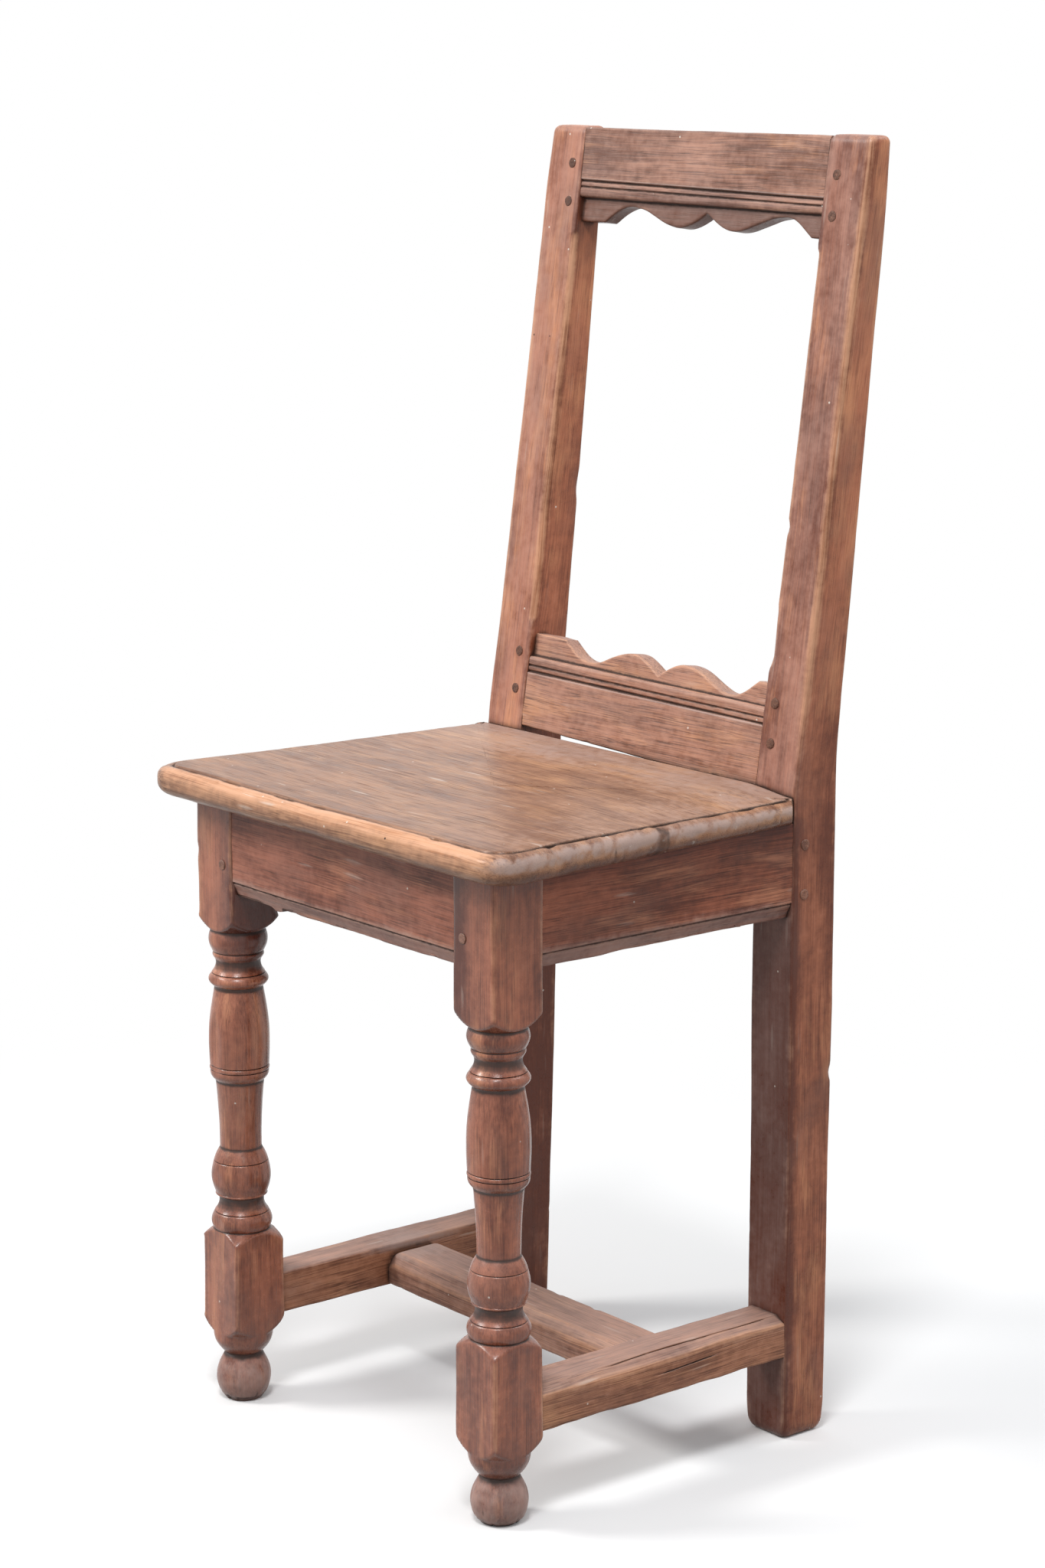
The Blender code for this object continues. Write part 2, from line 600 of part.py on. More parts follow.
def seat_board(name):
    curve = curve_through(seat_edge(SEAT_NOSE), True)
    curve.dimensions = "2D"
    curve.fill_mode = "BOTH"
    curve.extrude = SEAT_THICKNESS / 2 - SEAT_NOSE
    curve.bevel_depth = SEAT_NOSE
    curve.bevel_resolution = SEAT_NOSE_RINGS
    middle = Matrix.Translation((0.0, 0.0, SEAT_UNDERSIDE + SEAT_THICKNESS / 2))
    seat = piece(name, solid_from_curve(curve, middle), CHAIR_FRAME, OAK_SEAT)
    flare = SEAT_FRONT_WIDTH / 2
    behind = [
        (-OUTER, SEAT_REAR),
        (OUTER, SEAT_REAR),
        (OUTER + flare, SEAT_REAR - flare),
        (OUTER + flare, SEAT_REAR + flare),
        (-OUTER - flare, SEAT_REAR + flare),
        (-OUTER - flare, SEAT_REAR - flare),
    ]
    rear = extruded(behind, Z, SEAT_UNDERSIDE - EMBED, SEAT_HEIGHT + EMBED)
    combine(seat, tool(name + "_rear_cut", rear, CHAIR_FRAME), "DIFFERENCE")
    path = curve_through(seat_edge(SEAT_NOSE + QUIRK_INSET), False)
    path.bevel_depth = QUIRK_RADIUS
    path.bevel_resolution = QUIRK_RINGS
    path.use_fill_caps = True
    groove = solid_from_curve(path, Matrix.Translation((0.0, 0.0, SEAT_HEIGHT)))
    combine(seat, tool(name + "_quirk", groove, CHAIR_FRAME), "DIFFERENCE")
    return seat


def rail_pegs():
    """Pegs through the seat rails' tenons, driven from the outside of the legs and posts."""
    stop = SIDE_RAIL_MIDDLE - TENON_THICKNESS / 2 - PEG_PAST
    for side_name, side in SIDES:
        for place, level in (("upper", RAIL_TOP - RAIL_PEG_INSET), ("lower", RAIL_BOTTOM + RAIL_PEG_INSET)):
            y = FRAME_DEPTH + PEG_SET
            pin(f"{side_name}_seat_rail_peg_{place}", CHAIR_FRAME, (side * (OUTER + PEG_PROUD), y, level),
                (side * stop, y, level), PEG_DIAMETER, (POSTS[side], SIDE_RAILS[side]))
        x, level = side * (LEG_INNER + PEG_SET), RAIL_BOTTOM + FRONT_PEG_RISE
        end = FRONT_RAIL_MIDDLE + TENON_THICKNESS / 2 + PEG_PAST
        pin(f"{side_name}_front_rail_peg", CHAIR_FRAME, (x, -PEG_PROUD, level), (x, end, level),
            PEG_DIAMETER, (LEGS[side], FRONT_RAIL))
        x, level = side * (POST_INNER + PEG_SET), RAIL_BOTTOM + RAIL_HEIGHT / 2
        end = REAR_RAIL_MIDDLE - TENON_THICKNESS / 2 - PEG_PAST
        pin(f"{side_name}_rear_rail_peg", CHAIR_FRAME, (x, POST_REAR + PEG_PROUD, level), (x, end, level),
            PEG_DIAMETER, (POSTS[side], REAR_RAIL))


def seat_dowel(name, x, y, rail):
    """A hidden dowel that stands in a seat rail and holds the seat board."""
    bottom, top = RAIL_TOP - DOWEL_IN_RAIL, SEAT_UNDERSIDE + DOWEL_IN_SEAT
    pin(name, CHAIR_FRAME, (x, y, bottom), (x, y, top), DOWEL_DIAMETER, (rail, SEAT))


def seat_dowels():
    middle = (LEG_SIZE + FRAME_DEPTH) / 2
    for side_name, side in SIDES:
        x = side * FRONT_DOWEL_SPACING / 2
        seat_dowel(f"{side_name}_front_seat_dowel", x, FRONT_RAIL_MIDDLE, FRONT_RAIL)
        for place, way in (("fore", -1), ("aft", 1)):
            seat_dowel(f"{side_name}_side_seat_dowel_{place}", side * SIDE_RAIL_MIDDLE,
                       middle + way * SIDE_DOWEL_SPACING / 2, SIDE_RAILS[side])


clear_scene()
CHAIR = new_collection("provincial_side_chair")
TOOLS = new_collection("provincial_side_chair_tools")
OPERANDS = {}
CHAIR_FRAME = new_empty("chair_frame", None, (0.0, (SEAT_OVERHANG - TOP_REAR) / 2, 0.0), 0.0)
BACK_FRAME = new_empty("back_frame", CHAIR_FRAME, (0.0, FRAME_DEPTH, SEAT_HEIGHT), math.pi / 2 - RAKE_ANGLE)

LEGS = {side: front_leg(f"{side_name}_front_leg", side) for side_name, side in SIDES}
POSTS = {side: rear_post(f"{side_name}_rear_post", side) for side_name, side in SIDES}
FRONT_RAIL = end_rail("front_seat_rail", rail_section(RAIL_SETBACK, -1), FRONT_RAIL_MIDDLE, LEG_INNER, LEGS)
REAR_RAIL = end_rail("rear_seat_rail", rail_section(REAR_RAIL_MIDDLE + RAIL_THICKNESS / 2, 1),
                     REAR_RAIL_MIDDLE, POST_INNER, POSTS)
SIDE_RAILS = {side: side_rail(f"{side_name}_seat_rail", side) for side_name, side in SIDES}
STRETCHERS = {side: side_stretcher(f"{side_name}_stretcher", side) for side_name, side in SIDES}
cross_stretcher("cross_stretcher")
SEAT = seat_board("seat_board")
back_rail("crest_rail", SLOPE_LENGTH - CREST_DROP - BACK_RAIL_HEIGHT, 1, CREST_SCALLOP_SHIFT)
back_rail("lower_back_rail", SEAT_GAP + BACK_RAIL_HEIGHT, -1, LOWER_SCALLOP_SHIFT)
rail_pegs()
seat_dowels()
bpy.context.view_layer.update()
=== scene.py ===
"""Looks of the provincial side chair: worn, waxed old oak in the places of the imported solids.

Metres, +Z up. The chair faces -Y, and right is +X. Every piece is a stack of closed rings of points:
the rings follow the piece's outline, and wear, chips and hollows move their points.
"""
import math
from collections import namedtuple

import bpy
import numpy as np
from mathutils import Matrix, Vector
from mathutils.bvhtree import BVHTree


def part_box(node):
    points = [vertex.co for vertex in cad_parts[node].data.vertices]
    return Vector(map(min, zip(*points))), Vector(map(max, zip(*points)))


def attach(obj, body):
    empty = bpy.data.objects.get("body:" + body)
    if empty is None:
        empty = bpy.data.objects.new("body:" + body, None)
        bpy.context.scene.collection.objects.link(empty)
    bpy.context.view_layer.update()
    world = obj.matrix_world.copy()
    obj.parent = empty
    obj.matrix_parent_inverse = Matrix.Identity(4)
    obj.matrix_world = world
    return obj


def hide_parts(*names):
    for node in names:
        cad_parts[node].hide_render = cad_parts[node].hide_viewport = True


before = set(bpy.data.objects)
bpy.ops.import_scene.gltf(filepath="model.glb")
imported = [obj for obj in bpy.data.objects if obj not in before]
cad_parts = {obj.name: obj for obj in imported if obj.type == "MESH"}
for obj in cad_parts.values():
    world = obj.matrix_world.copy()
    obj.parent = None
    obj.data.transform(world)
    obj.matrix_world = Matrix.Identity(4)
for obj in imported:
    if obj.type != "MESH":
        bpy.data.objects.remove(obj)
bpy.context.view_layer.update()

X, Y, Z = range(3)
SIDES = (("left", -1), ("right", 1))
BODY = "root"

# Places read from the frame
LEG_LOW, LEG_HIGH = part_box("right_front_leg")
POST_LOW, POST_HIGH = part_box("right_rear_post")
SEAT_LOW, SEAT_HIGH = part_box("seat_board")
FRONT_RAIL_LOW, FRONT_RAIL_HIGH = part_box("front_seat_rail")
REAR_RAIL_LOW, REAR_RAIL_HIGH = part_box("rear_seat_rail")
SIDE_RAIL_LOW, SIDE_RAIL_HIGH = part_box("right_seat_rail")
STRETCHER_LOW, STRETCHER_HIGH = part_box("right_stretcher")
CROSS_LOW, CROSS_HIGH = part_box("cross_stretcher")
LEG_SIZE = LEG_HIGH.x - LEG_LOW.x
SEAT_TOP = SEAT_HIGH.z
CHAIR_TOP = POST_HIGH.z

# Front legs: turned by eye, so the two differ in the height of the stem's top and of the first member
# below it, in the heights of the lower block's foot and of the foot's top, in where the lathe's centre
# stood in the blank, in how slim the turning is, and in how far the foot stands from its drawn place
Leg = namedtuple("Leg", "stem_top neck block_foot foot_top centre slim lean tone seed")
LEGS = {
    "left": Leg(0.3595, 0.0160, 0.0660, 0.0525, (-0.0006, -0.0008), 0.0003, (0.0, 0.0), 0.03, 101),
    "right": Leg(0.3500, 0.0140, 0.0640, 0.0505, (0.0001, 0.0), 0.0006, (0.0013, 0.0011), 0.0, 137),
}
BLOCK_TOP = 0.1215
STEM_BOTTOM = 0.1321
SHOULDER = 0.0135
STEM_CUT = 0.0012
FOOT_CUT = -0.0009
# Each turned member from the top: its height, the cut at its foot, and how far its middle swells
NECK_SHAPE = (0.0023, 0.0022)
UPPER_TURNING = (
    (0.0005, 0.0030, 0.0000),
    (0.0042, 0.0032, 0.0008),
    (0.0050, 0.0048, -0.0006),
    (0.0066, 0.0017, -0.0006),
    (0.0008, 0.0015, -0.0007),
    (0.0094, 0.0030, 0.0031),
    (0.0008, 0.0033, 0.0000),
    (0.0584, -0.0006, 0.0021),
    (0.0008, -0.0004, -0.0008),
    (0.0028, -0.0006, 0.0004),
    (0.0007, -0.0004, -0.0007),
    (0.0075, 0.0030, 0.0012),
    (0.0008, 0.0034, 0.0000),
)
LOWER_TURNING = (
    (0.0507, 0.0057, -0.0006),
    (0.0008, 0.0053, 0.0000),
    (0.0090, 0.0012, 0.0004),
    (0.0008, 0.0010, -0.0006),
    (0.0242, 0.0023, 0.0024),
    (0.0016, 0.0026, 0.0006),
    (0.0006, 0.0041, 0.0000),
    (0.0050, 0.0046, -0.0003),
    (0.0066, 0.0013, -0.0006),
    (0.0008, 0.0010, -0.0007),
    (0.0130, 0.0008, 0.0022),
)
FOOT_TURNING = (
    (0.0165, 0.0070, 0.0022),
    (0.0010, 0.0072, -0.0004),
    (0.0330, 0.0052, 0.0052),
)
LEG_AROUND = 20              # points on each quarter of a leg
FOOT_WORN = (0.0024, 0.007)   # how far a foot's rim is worn in, and over what height
FOOT_CRACK = 0.0016
LEG_ARRIS = (0.0020, 0.0009)  # softness of a block's arris, and how far it varies
LEG_CHIP = 0.0045
TURNING_BLEND = 0.0006
CORNER_CROWDING = 1.8        # how far they gather at the arrises
TURNED_STEP = 0.0012
BLOCK_STEP = 0.0024

# Rear posts and back
POST_DEPTH = 0.041
POST_TOP_DEPTH = 0.0205
POST_BEND = 0.025
BACK_CHAMFER = 0.005
BACK_RAKE = POST_HIGH.y - POST_TOP_DEPTH - POST_LOW.y
RAKE_ANGLE = math.atan2(BACK_RAKE, CHAIR_TOP - SEAT_TOP)
SLOPE_LENGTH = math.hypot(BACK_RAKE, CHAIR_TOP - SEAT_TOP)
POST_STEP = 0.003
POST_ARRIS = (0.0020, 0.0006)
POST_CHIP = 0.0036
POST_EASE = 0.02             # half the length of the bend
POST_FOOT_WORN = (0.0050, 0.010)
POST_TOP_WORN = (0.0040, 0.0056)
POST_LEANS = {"left": (-0.007, -0.006), "right": (0.0, 0.0)}   # how far a post's foot has crept aside
BACK_RAIL_HEIGHT = 0.0725
BACK_RAIL_THICKNESS = 0.018
BACK_RAIL_SETBACK = 0.0005
SEAT_GAP = 0.003
SEAT_PRESS = 0.0030          # how far the lower rail's end has sunk into the seat
CREST_DROP = 0.0005
LIP_HEIGHT = 0.018
LIP_RECESS = 0.005
BAND_HEIGHT = 0.0125
BAND_NOSE = 0.003
QUIRK_DEPTH = 0.0022
# How far each line of a back rail stands off its drawn place at the left and at the right end, away from
# the scalloped tip: tip, step of the lip, quirk, plain edge
CREST_SKEW = ((0.0030, 0.0018), (0.0026, 0.0), (0.0023, -0.0024), (0.0, 0.0))
LOWER_SKEW = ((0.0016, 0.0052), (0.0010, 0.0034), (0.0002, 0.0026), (0.0002, 0.0082))
SCALLOP_FOOT = 0.0135
SCALLOP_DEPTH = 0.013
NICK_DEPTH = 0.0115
HOLLOW_PLACE = 0.74
LOBE_PLACE = 0.27
CREST_SCALLOP_SHIFT = 0.0065
LOWER_SCALLOP_SHIFT = 0.0105
BACK_RAIL_STEP = 0.0014

# Seat board
SEAT_REAR_WIDTH = 0.360
SEAT_FRONT_WIDTH = 0.414
SEAT_SHIFT = 0.003           # how far the left edge stands in
SEAT_CORNER = 0.031
SEAT_NOSE = 0.009
QUIRK_INSET = 0.0105
SEAT_DIP = 0.0046            # at the right rear corner
SEAT_HOLLOW = 0.0008
SEAT_RIDGES = 0.00022
NOSE_WAVES = 0.0007
NOSE_DENTS = 0.0024
END_CHECKS = 0.0016

# Pegs
PEG_PROUD = 0.0002
PEG_AROUND = 28

# Seat rails and stretchers
RAIL_CHAMFER = (0.011, 0.005)
RAIL_QUIRK = 0.0010
STRETCHER_CHAMFER = (0.005, 0.0065)
CROSS_CHAMFER = (0.009, 0.0045)
BAR_STEP = 0.003
BAR_ENDS = (0.0, 0.0005, 0.0012, 0.0022, 0.0036)
JOINT_BITE = 0.0006          # how far a rail's end reaches into the piece it meets
STRETCHER_MEETING = np.array([-STRETCHER_LOW.x, (CROSS_LOW.y + CROSS_HIGH.y) / 2])   # dustiest place

# Ridges that the grain leaves on every face
RIDGE_WIDTH, RIDGE_LENGTH, RIDGE_DEPTH = 0.0035, 0.060, 0.00007

# Camera, fitted to the photograph, and the lamps' aim
CAMERA_PLACE = (1.9763, -1.62115, 1.001)
CAMERA_AZIMUTH = math.radians(50.6244)
CAMERA_ELEVATION = math.radians(11.6931)
CAMERA_ROLL = math.radians(0.1592)
CAMERA_LENS = 83.82
CAMERA_SENSOR = 36.0
LAMP_AIM = (0.0, 0.0, 0.45)
FLOOR_REACH = 6.0


# Noise

def hashed(cell, seed):
    """A number from -1 to 1 for each lattice cell."""
    n = cell[..., X] * 374761393 + cell[..., Y] * 668265263 + cell[..., Z] * 1440662683 + seed * 1274126177
    n = n & 0xFFFFFFFF
    n = ((n ^ (n >> 13)) * 1274126177) & 0xFFFFFFFF
    n = n ^ (n >> 16)
    return (n & 0xFFFF) / 32767.5 - 1.0


def noise(points, size, seed):
    """Smooth noise from -1 to 1 with features of a size, or of a size for each axis."""
    scaled = np.asarray(points, float) / np.asarray(size)
    cell = np.floor(scaled).astype(np.int64)
    part = scaled - cell
    part = part * part * (3.0 - 2.0 * part)
    total = np.zeros(scaled.shape[:-1])
    for corner in range(8):
        step = np.array([corner & 1, corner >> 1 & 1, corner >> 2])
        weight = np.prod(np.where(step == 1, part, 1.0 - part), axis=-1)
        total += weight * hashed(cell + step, seed)
    return total


def layered(points, size, seed, layers=3):
    """Noise with finer and fainter layers on top."""
    total = np.zeros(np.shape(points)[:-1])
    for layer in range(layers):
        total += noise(points, np.asarray(size) / 2 ** layer, seed + layer) / 2 ** layer
    return total


def along(values, size, seed):
    """Noise along a line."""
    values = np.asarray(values, float)
    return noise(np.stack([values, values * 0.0, values * 0.0], axis=-1), size, seed)


def chips(values, size, seed, share):
    """Zero over most of a line, rising to 1 where chips are; share is how much of the line has them."""
    return unit((along(values, size, seed) - 1.0 + 2.0 * share) / (2.0 * share)) ** 1.5


def unit(values):
    return np.clip(values, 0.0, 1.0)


def bell(offset, reach):
    """1 at no offset, falling away over the reach."""
    return np.exp(-(offset / reach) ** 2)


def smooth_step(low, high, values):
    part = unit((values - low) / (high - low))
    return part * part * (3.0 - 2.0 * part)


# Rings of points

def ring_points(corners, soft, flats, arc_steps=4):
    """Closed rings through polygons: corners is (rings, corners, 2), and soft the length that each corner
    is rounded over. Returns the points and their distances from the corners."""
    ahead = np.roll(corners, -1, axis=1) - corners
    behind = np.roll(corners, 1, axis=1) - corners
    ahead_unit = ahead / np.linalg.norm(ahead, axis=-1, keepdims=True)
    behind_unit = behind / np.linalg.norm(behind, axis=-1, keepdims=True)
    first = corners + behind_unit * soft[..., None]
    last = corners + ahead_unit * soft[..., None]
    columns = []
    for k in range(corners.shape[1]):
        for step in range(arc_steps + 1):
            t = step / arc_steps
            columns.append((1 - t) ** 2 * first[:, k] + 2 * t * (1 - t) * corners[:, k] + t * t * last[:, k])
        nearest = first[:, (k + 1) % corners.shape[1]]
        for step in range(1, flats[k]):
            t = step / flats[k]
            t = t - math.sin(2 * math.pi * t) / (2 * math.pi) * 0.75
            columns.append(last[:, k] * (1 - t) + nearest * t)
    points = np.stack(columns, axis=1)
    return points, np.linalg.norm(points[:, :, None, :] - corners[:, None, :, :], axis=-1)


def nearness(gaps, weights, reach):
    """How strongly each point belongs to the weighted corners near it, from 0 to 1."""
    return (np.asarray(weights) * bell(gaps, reach)).max(axis=2)


def ring_normals(rings):
    around = np.roll(rings, -1, axis=1) - np.roll(rings, 1, axis=1)
    across = np.gradient(rings, axis=0)
    normal = np.cross(around, across)
    return normal / np.maximum(np.linalg.norm(normal, axis=-1, keepdims=True), 1e-12)


def weathered(rings, fibre, seed, bow, dents):
    """Moves the rings' points as old wood moves: bowed, dented and ridged along the grain."""
    normal = ring_normals(rings)
    stretch = np.full(3, RIDGE_WIDTH)
    stretch[fibre] = RIDGE_LENGTH
    depth = bow * noise(rings, 0.11, seed) + dents * layered(rings, 0.016, seed + 7)
    depth = depth + RIDGE_DEPTH * noise(rings, stretch, seed + 13)
    return rings + normal * depth[..., None]


PIECES = []
OAK = {}                     # materials by slot


def new_piece(name, rings, fibre, pith, edge, crease, tone, dust_and_sheen, slot, seed, shade_and_soak=0.0, follow=0.0):
    """One closed mesh from its rings, with the places of its grain, worn edges and grooves, its tone and
    stains with painted light and shade, its dusting with painted sheen, and its painted shade with end grain
    that has taken up wax.
    """
    count, around = rings.shape[:2]
    index = np.arange(count * around).reshape(count, around)
    here, there = index[:-1], index[1:]
    quads = np.stack([here, np.roll(here, -1, 1), np.roll(there, -1, 1), there], axis=-1).reshape(-1, 4)
    points = rings.reshape(-1, 3)
    corner = points[quads]
    volume = np.einsum("ij,ij->i", corner[:, 0], np.cross(corner[:, 1], corner[:, 2])).sum()
    faces = quads.tolist() + [index[0][::-1].tolist(), index[-1].tolist()]
    if volume < 0.0:
        faces = [face[::-1] for face in faces]
    mesh = bpy.data.meshes.new(name)
    mesh.from_pydata(points.tolist(), [], faces)
    mesh.shade_smooth()
    mesh.set_sharp_from_angle(angle=math.radians(60.0))
    grown = (rings - follow).reshape(-1, 3)
    grain = grown[:, [fibre, (fibre + 1) % 3, (fibre + 2) % 3]] - np.array([seed * 0.37, pith[0], pith[1]])
    mesh.attributes.new("grain", "FLOAT_VECTOR", "POINT").data.foreach_set("vector", grain.ravel())
    store(mesh, "edge", edge)
    store(mesh, "crease", crease)
    store(mesh, "tone", np.broadcast_to(tone, rings.shape[:2]))
    # Dusting, and on the seat a painted sheen
    store(mesh, "dust_and_sheen", np.broadcast_to(dust_and_sheen, rings.shape[:2]))
    # Painted shade, and end grain that has taken up wax
    store(mesh, "shade_and_soak", np.broadcast_to(shade_and_soak, rings.shape[:2]))
    mesh.materials.append(OAK[slot])
    piece = bpy.data.objects.new(name, mesh)
    bpy.context.scene.collection.objects.link(piece)
    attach(piece, BODY)
    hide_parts(name)
    PIECES.append(piece)


def store(mesh, name, values):
    made = mesh.attributes.new(name, "FLOAT", "POINT")
    made.data.foreach_set("value", np.ascontiguousarray(values).ravel())


# Front legs

def turned_levels(members, top):
    levels = []
    for height, cut, swell in members:
        count = max(4, math.ceil(height / TURNED_STEP))
        levels += list(np.linspace(top, top - height, count, endpoint=False))
        top -= height
    return levels


def turned_radius(levels, members, top, cut, slim):
    """Radius of a row of turned members at each level, from the first cut down."""
    full = LEG_SIZE / 2 - slim
    radius = np.full(levels.shape, full - cut)
    for height, next_cut, swell in members:
        share = unit((top - levels) / height)
        face = full - cut - (next_cut - cut) * share + swell * np.sin(math.pi * share)
        radius = np.where(levels <= top, face, radius)
        top -= height
        cut = next_cut
    return radius


def stem_turning(leg):
    """The stem's members of a leg: the lower ones fill what the upper ones leave."""
    upper = ((leg.neck, *NECK_SHAPE),) + UPPER_TURNING
    lower = sum(height for height, cut, swell in LOWER_TURNING)
    fill = (leg.stem_top - sum(height for height, cut, swell in upper) - STEM_BOTTOM) / lower
    return upper + tuple((height * fill, cut, swell) for height, cut, swell in LOWER_TURNING)


def leg_radius(levels, leg):
    """Radius of the turning at each level, wider than the blank where a block stays square."""
    diagonal = LEG_SIZE / math.sqrt(2.0)
    stem = turned_radius(levels, stem_turning(leg), leg.stem_top, STEM_CUT, leg.slim)
    foot = turned_radius(levels, FOOT_TURNING, leg.foot_top, FOOT_CUT, leg.slim)
    radius = np.where(levels <= leg.block_foot, foot, stem)
    upper_block = leg.stem_top + SHOULDER
    for start, end in ((leg.stem_top, upper_block), (STEM_BOTTOM, BLOCK_TOP), (leg.foot_top, leg.block_foot)):
        share = unit((levels - start) / (end - start))
        shoulder = (levels > min(start, end)) & (levels <= max(start, end))
        radius = np.where(shoulder, radius + (diagonal - radius) * np.sin(math.pi / 2 * share), radius)
    square = (levels > upper_block) | ((levels > leg.block_foot) & (levels <= BLOCK_TOP))
    return np.where(square, 2.0 * diagonal, radius)


def leg_levels(leg):
    levels = turned_levels(stem_turning(leg), leg.stem_top) + turned_levels(FOOT_TURNING, leg.foot_top)
    upper_block = leg.stem_top + SHOULDER
    runs = (
        (leg.foot_top, leg.block_foot, TURNED_STEP),
        (leg.block_foot, BLOCK_TOP, BLOCK_STEP),
        (BLOCK_TOP, STEM_BOTTOM, TURNED_STEP),
        (leg.stem_top, upper_block, TURNED_STEP),
        (upper_block, LEG_HIGH.z - 0.001, BLOCK_STEP),
    )
    for start, end, step in runs:
        levels += list(np.arange(start + step, end + step / 2, step))
    return np.array([0.0] + sorted(set(level for level in levels if 0.0 < level < LEG_HIGH.z)) + [LEG_HIGH.z])


def hollows(levels, profile, reach):
    """How far each level of a profile stands out from the levels around it."""
    weight = bell(levels[:, None] - levels, reach) * np.gradient(levels)
    return profile - weight @ profile / weight.sum(axis=1)


def front_leg(name, side, leg):
    seed = leg.seed
    levels = leg_levels(leg)
    quarter = np.linspace(-1.0, 1.0, LEG_AROUND + 1)[:-1]
    bent = np.sign(quarter) * (1.0 - (1.0 - np.abs(quarter)) ** CORNER_CROWDING) * math.pi / 4
    angle = np.concatenate([bent + turn * math.pi / 2 for turn in range(4)])
    part = np.abs(angle - np.round(angle / (math.pi / 2)) * math.pi / 2)
    corner_of = np.floor(angle / (math.pi / 2)) % 4
    half = LEG_SIZE / 2
    arris = np.zeros((len(levels), len(angle)))
    for corner in range(4):
        worn = LEG_ARRIS[0] + LEG_ARRIS[1] * along(levels, 0.035, seed + corner)
        worn = worn + LEG_CHIP * chips(levels, 0.022, seed + 20 + corner, 0.16)
        arris[:, corner_of == corner] = worn[:, None]
    inner = half - arris
    reach = inner * (np.cos(part) + np.sin(part))
    rounded = reach + np.sqrt(np.maximum(reach ** 2 - 2.0 * inner ** 2 + arris ** 2, 0.0))
    flat = half / np.cos(part)
    square = np.where(half * np.tan(part) > inner, np.minimum(rounded, flat), flat)
    profile = leg_radius(levels, leg)
    turned = np.repeat(profile[:, None], len(angle), axis=1)
    mixed = unit(0.5 + 0.5 * (square - turned) / TURNING_BLEND)
    radius = square * (1.0 - mixed) + turned * mixed - TURNING_BLEND * mixed * (1.0 - mixed)
    radius = radius - FOOT_WORN[0] * smooth_step(FOOT_WORN[1], 0.0, levels)[:, None] ** 2
    centre_x = side * (LEG_LOW.x + LEG_HIGH.x) / 2
    centre_y = (LEG_LOW.y + LEG_HIGH.y) / 2
    aside = (1.0 - levels / LEG_HIGH.z)[:, None]
    rings = np.stack([
        centre_x + radius * np.cos(angle) + mixed * leg.centre[0] + aside * leg.lean[0],
        centre_y + radius * np.sin(angle) + mixed * leg.centre[1] + aside * leg.lean[1],
        np.repeat(levels[:, None], len(angle), axis=1)], axis=-1)
    rings = weathered(rings, Z, seed, 0.0003, 0.00012)
    rough = smooth_step(0.042, 0.012, rings[..., Z])
    cracks = unit(noise(rings, (0.0026, 0.0026, 0.026), seed + 31) - 0.25)
    rings -= ring_normals(rings) * (rough * cracks * FOOT_CRACK)[..., None]
    rings[..., Z] = np.clip(rings[..., Z], 0.0, LEG_HIGH.z)
    slim = np.minimum(profile, half)
    relief = hollows(levels, slim, 0.0018)
    cove = hollows(levels, slim, 0.0060)
    gap = np.abs(part - math.pi / 4) * half * math.sqrt(2.0)
    edge = 0.50 * bell(gap, 0.0030) * (1.0 - mixed)
    edge = np.maximum(edge, 0.30 * unit(relief / 0.0006)[:, None] * mixed)
    dust_and_sheen = 0.52 * smooth_step(0.046, 0.026, levels)[:, None]
    crease = unit(-relief / 0.0005) + np.clip(-cove / 0.0018, 0.0, 0.55)
    crease = crease[:, None] * mixed + rough * np.clip(cracks * 1.3, 0.0, 0.55)
    # Painted shade: the faces turned inwards and back darken from below the rails up, and the top darkens
    # under the seat
    inside = unit(-side * np.cos(angle)) + unit(0.6 * np.sin(angle))
    shut_in = smooth_step(0.315, 0.365, levels)[:, None] * np.minimum(inside, 1.0)
    under = 0.5 * smooth_step(LEG_HIGH.z - 0.020, LEG_HIGH.z - 0.001, levels)[:, None]
    tone = leg.tone + 0.05 * (1.0 - mixed) - 0.55 * shut_in - 0.10 * smooth_step(0.22, 0.12, levels)[:, None]
    new_piece(name, rings, Z, (centre_x - side * 0.05, centre_y + 0.04), edge, unit(crease),
              tone, dust_and_sheen, "leg_oak", seed, np.maximum(0.45 * shut_in, under))


# Rear posts

def post_faces(levels):
    """Front and rear faces of a post at each level, the rear one eased at its bend."""
    front = POST_LOW.y + np.maximum(levels - SEAT_TOP, 0.0) * math.tan(RAKE_ANGLE)
    foot = POST_LOW.y + POST_DEPTH
    bend = SEAT_TOP + POST_BEND
    slope = (POST_HIGH.y - foot) / (CHAIR_TOP - bend)
    over = levels - bend
    eased = np.where(over < -POST_EASE, 0.0, (over + POST_EASE) ** 2 / (4 * POST_EASE))
    rear = foot + slope * np.where(over > POST_EASE, over, eased)
    return front, np.minimum(rear, POST_HIGH.y)


def post_levels():
    levels = np.arange(0.0, CHAIR_TOP, POST_STEP)
    foot = [0.0, 0.0008, 0.0020, 0.0036, 0.0056, 0.0080]
    top = [CHAIR_TOP - step for step in (0.0056, 0.0040, 0.0026, 0.0014, 0.0005, 0.0)]
    return np.array(sorted(set(foot + [v for v in levels if 0.010 < v < CHAIR_TOP - 0.007] + top)))


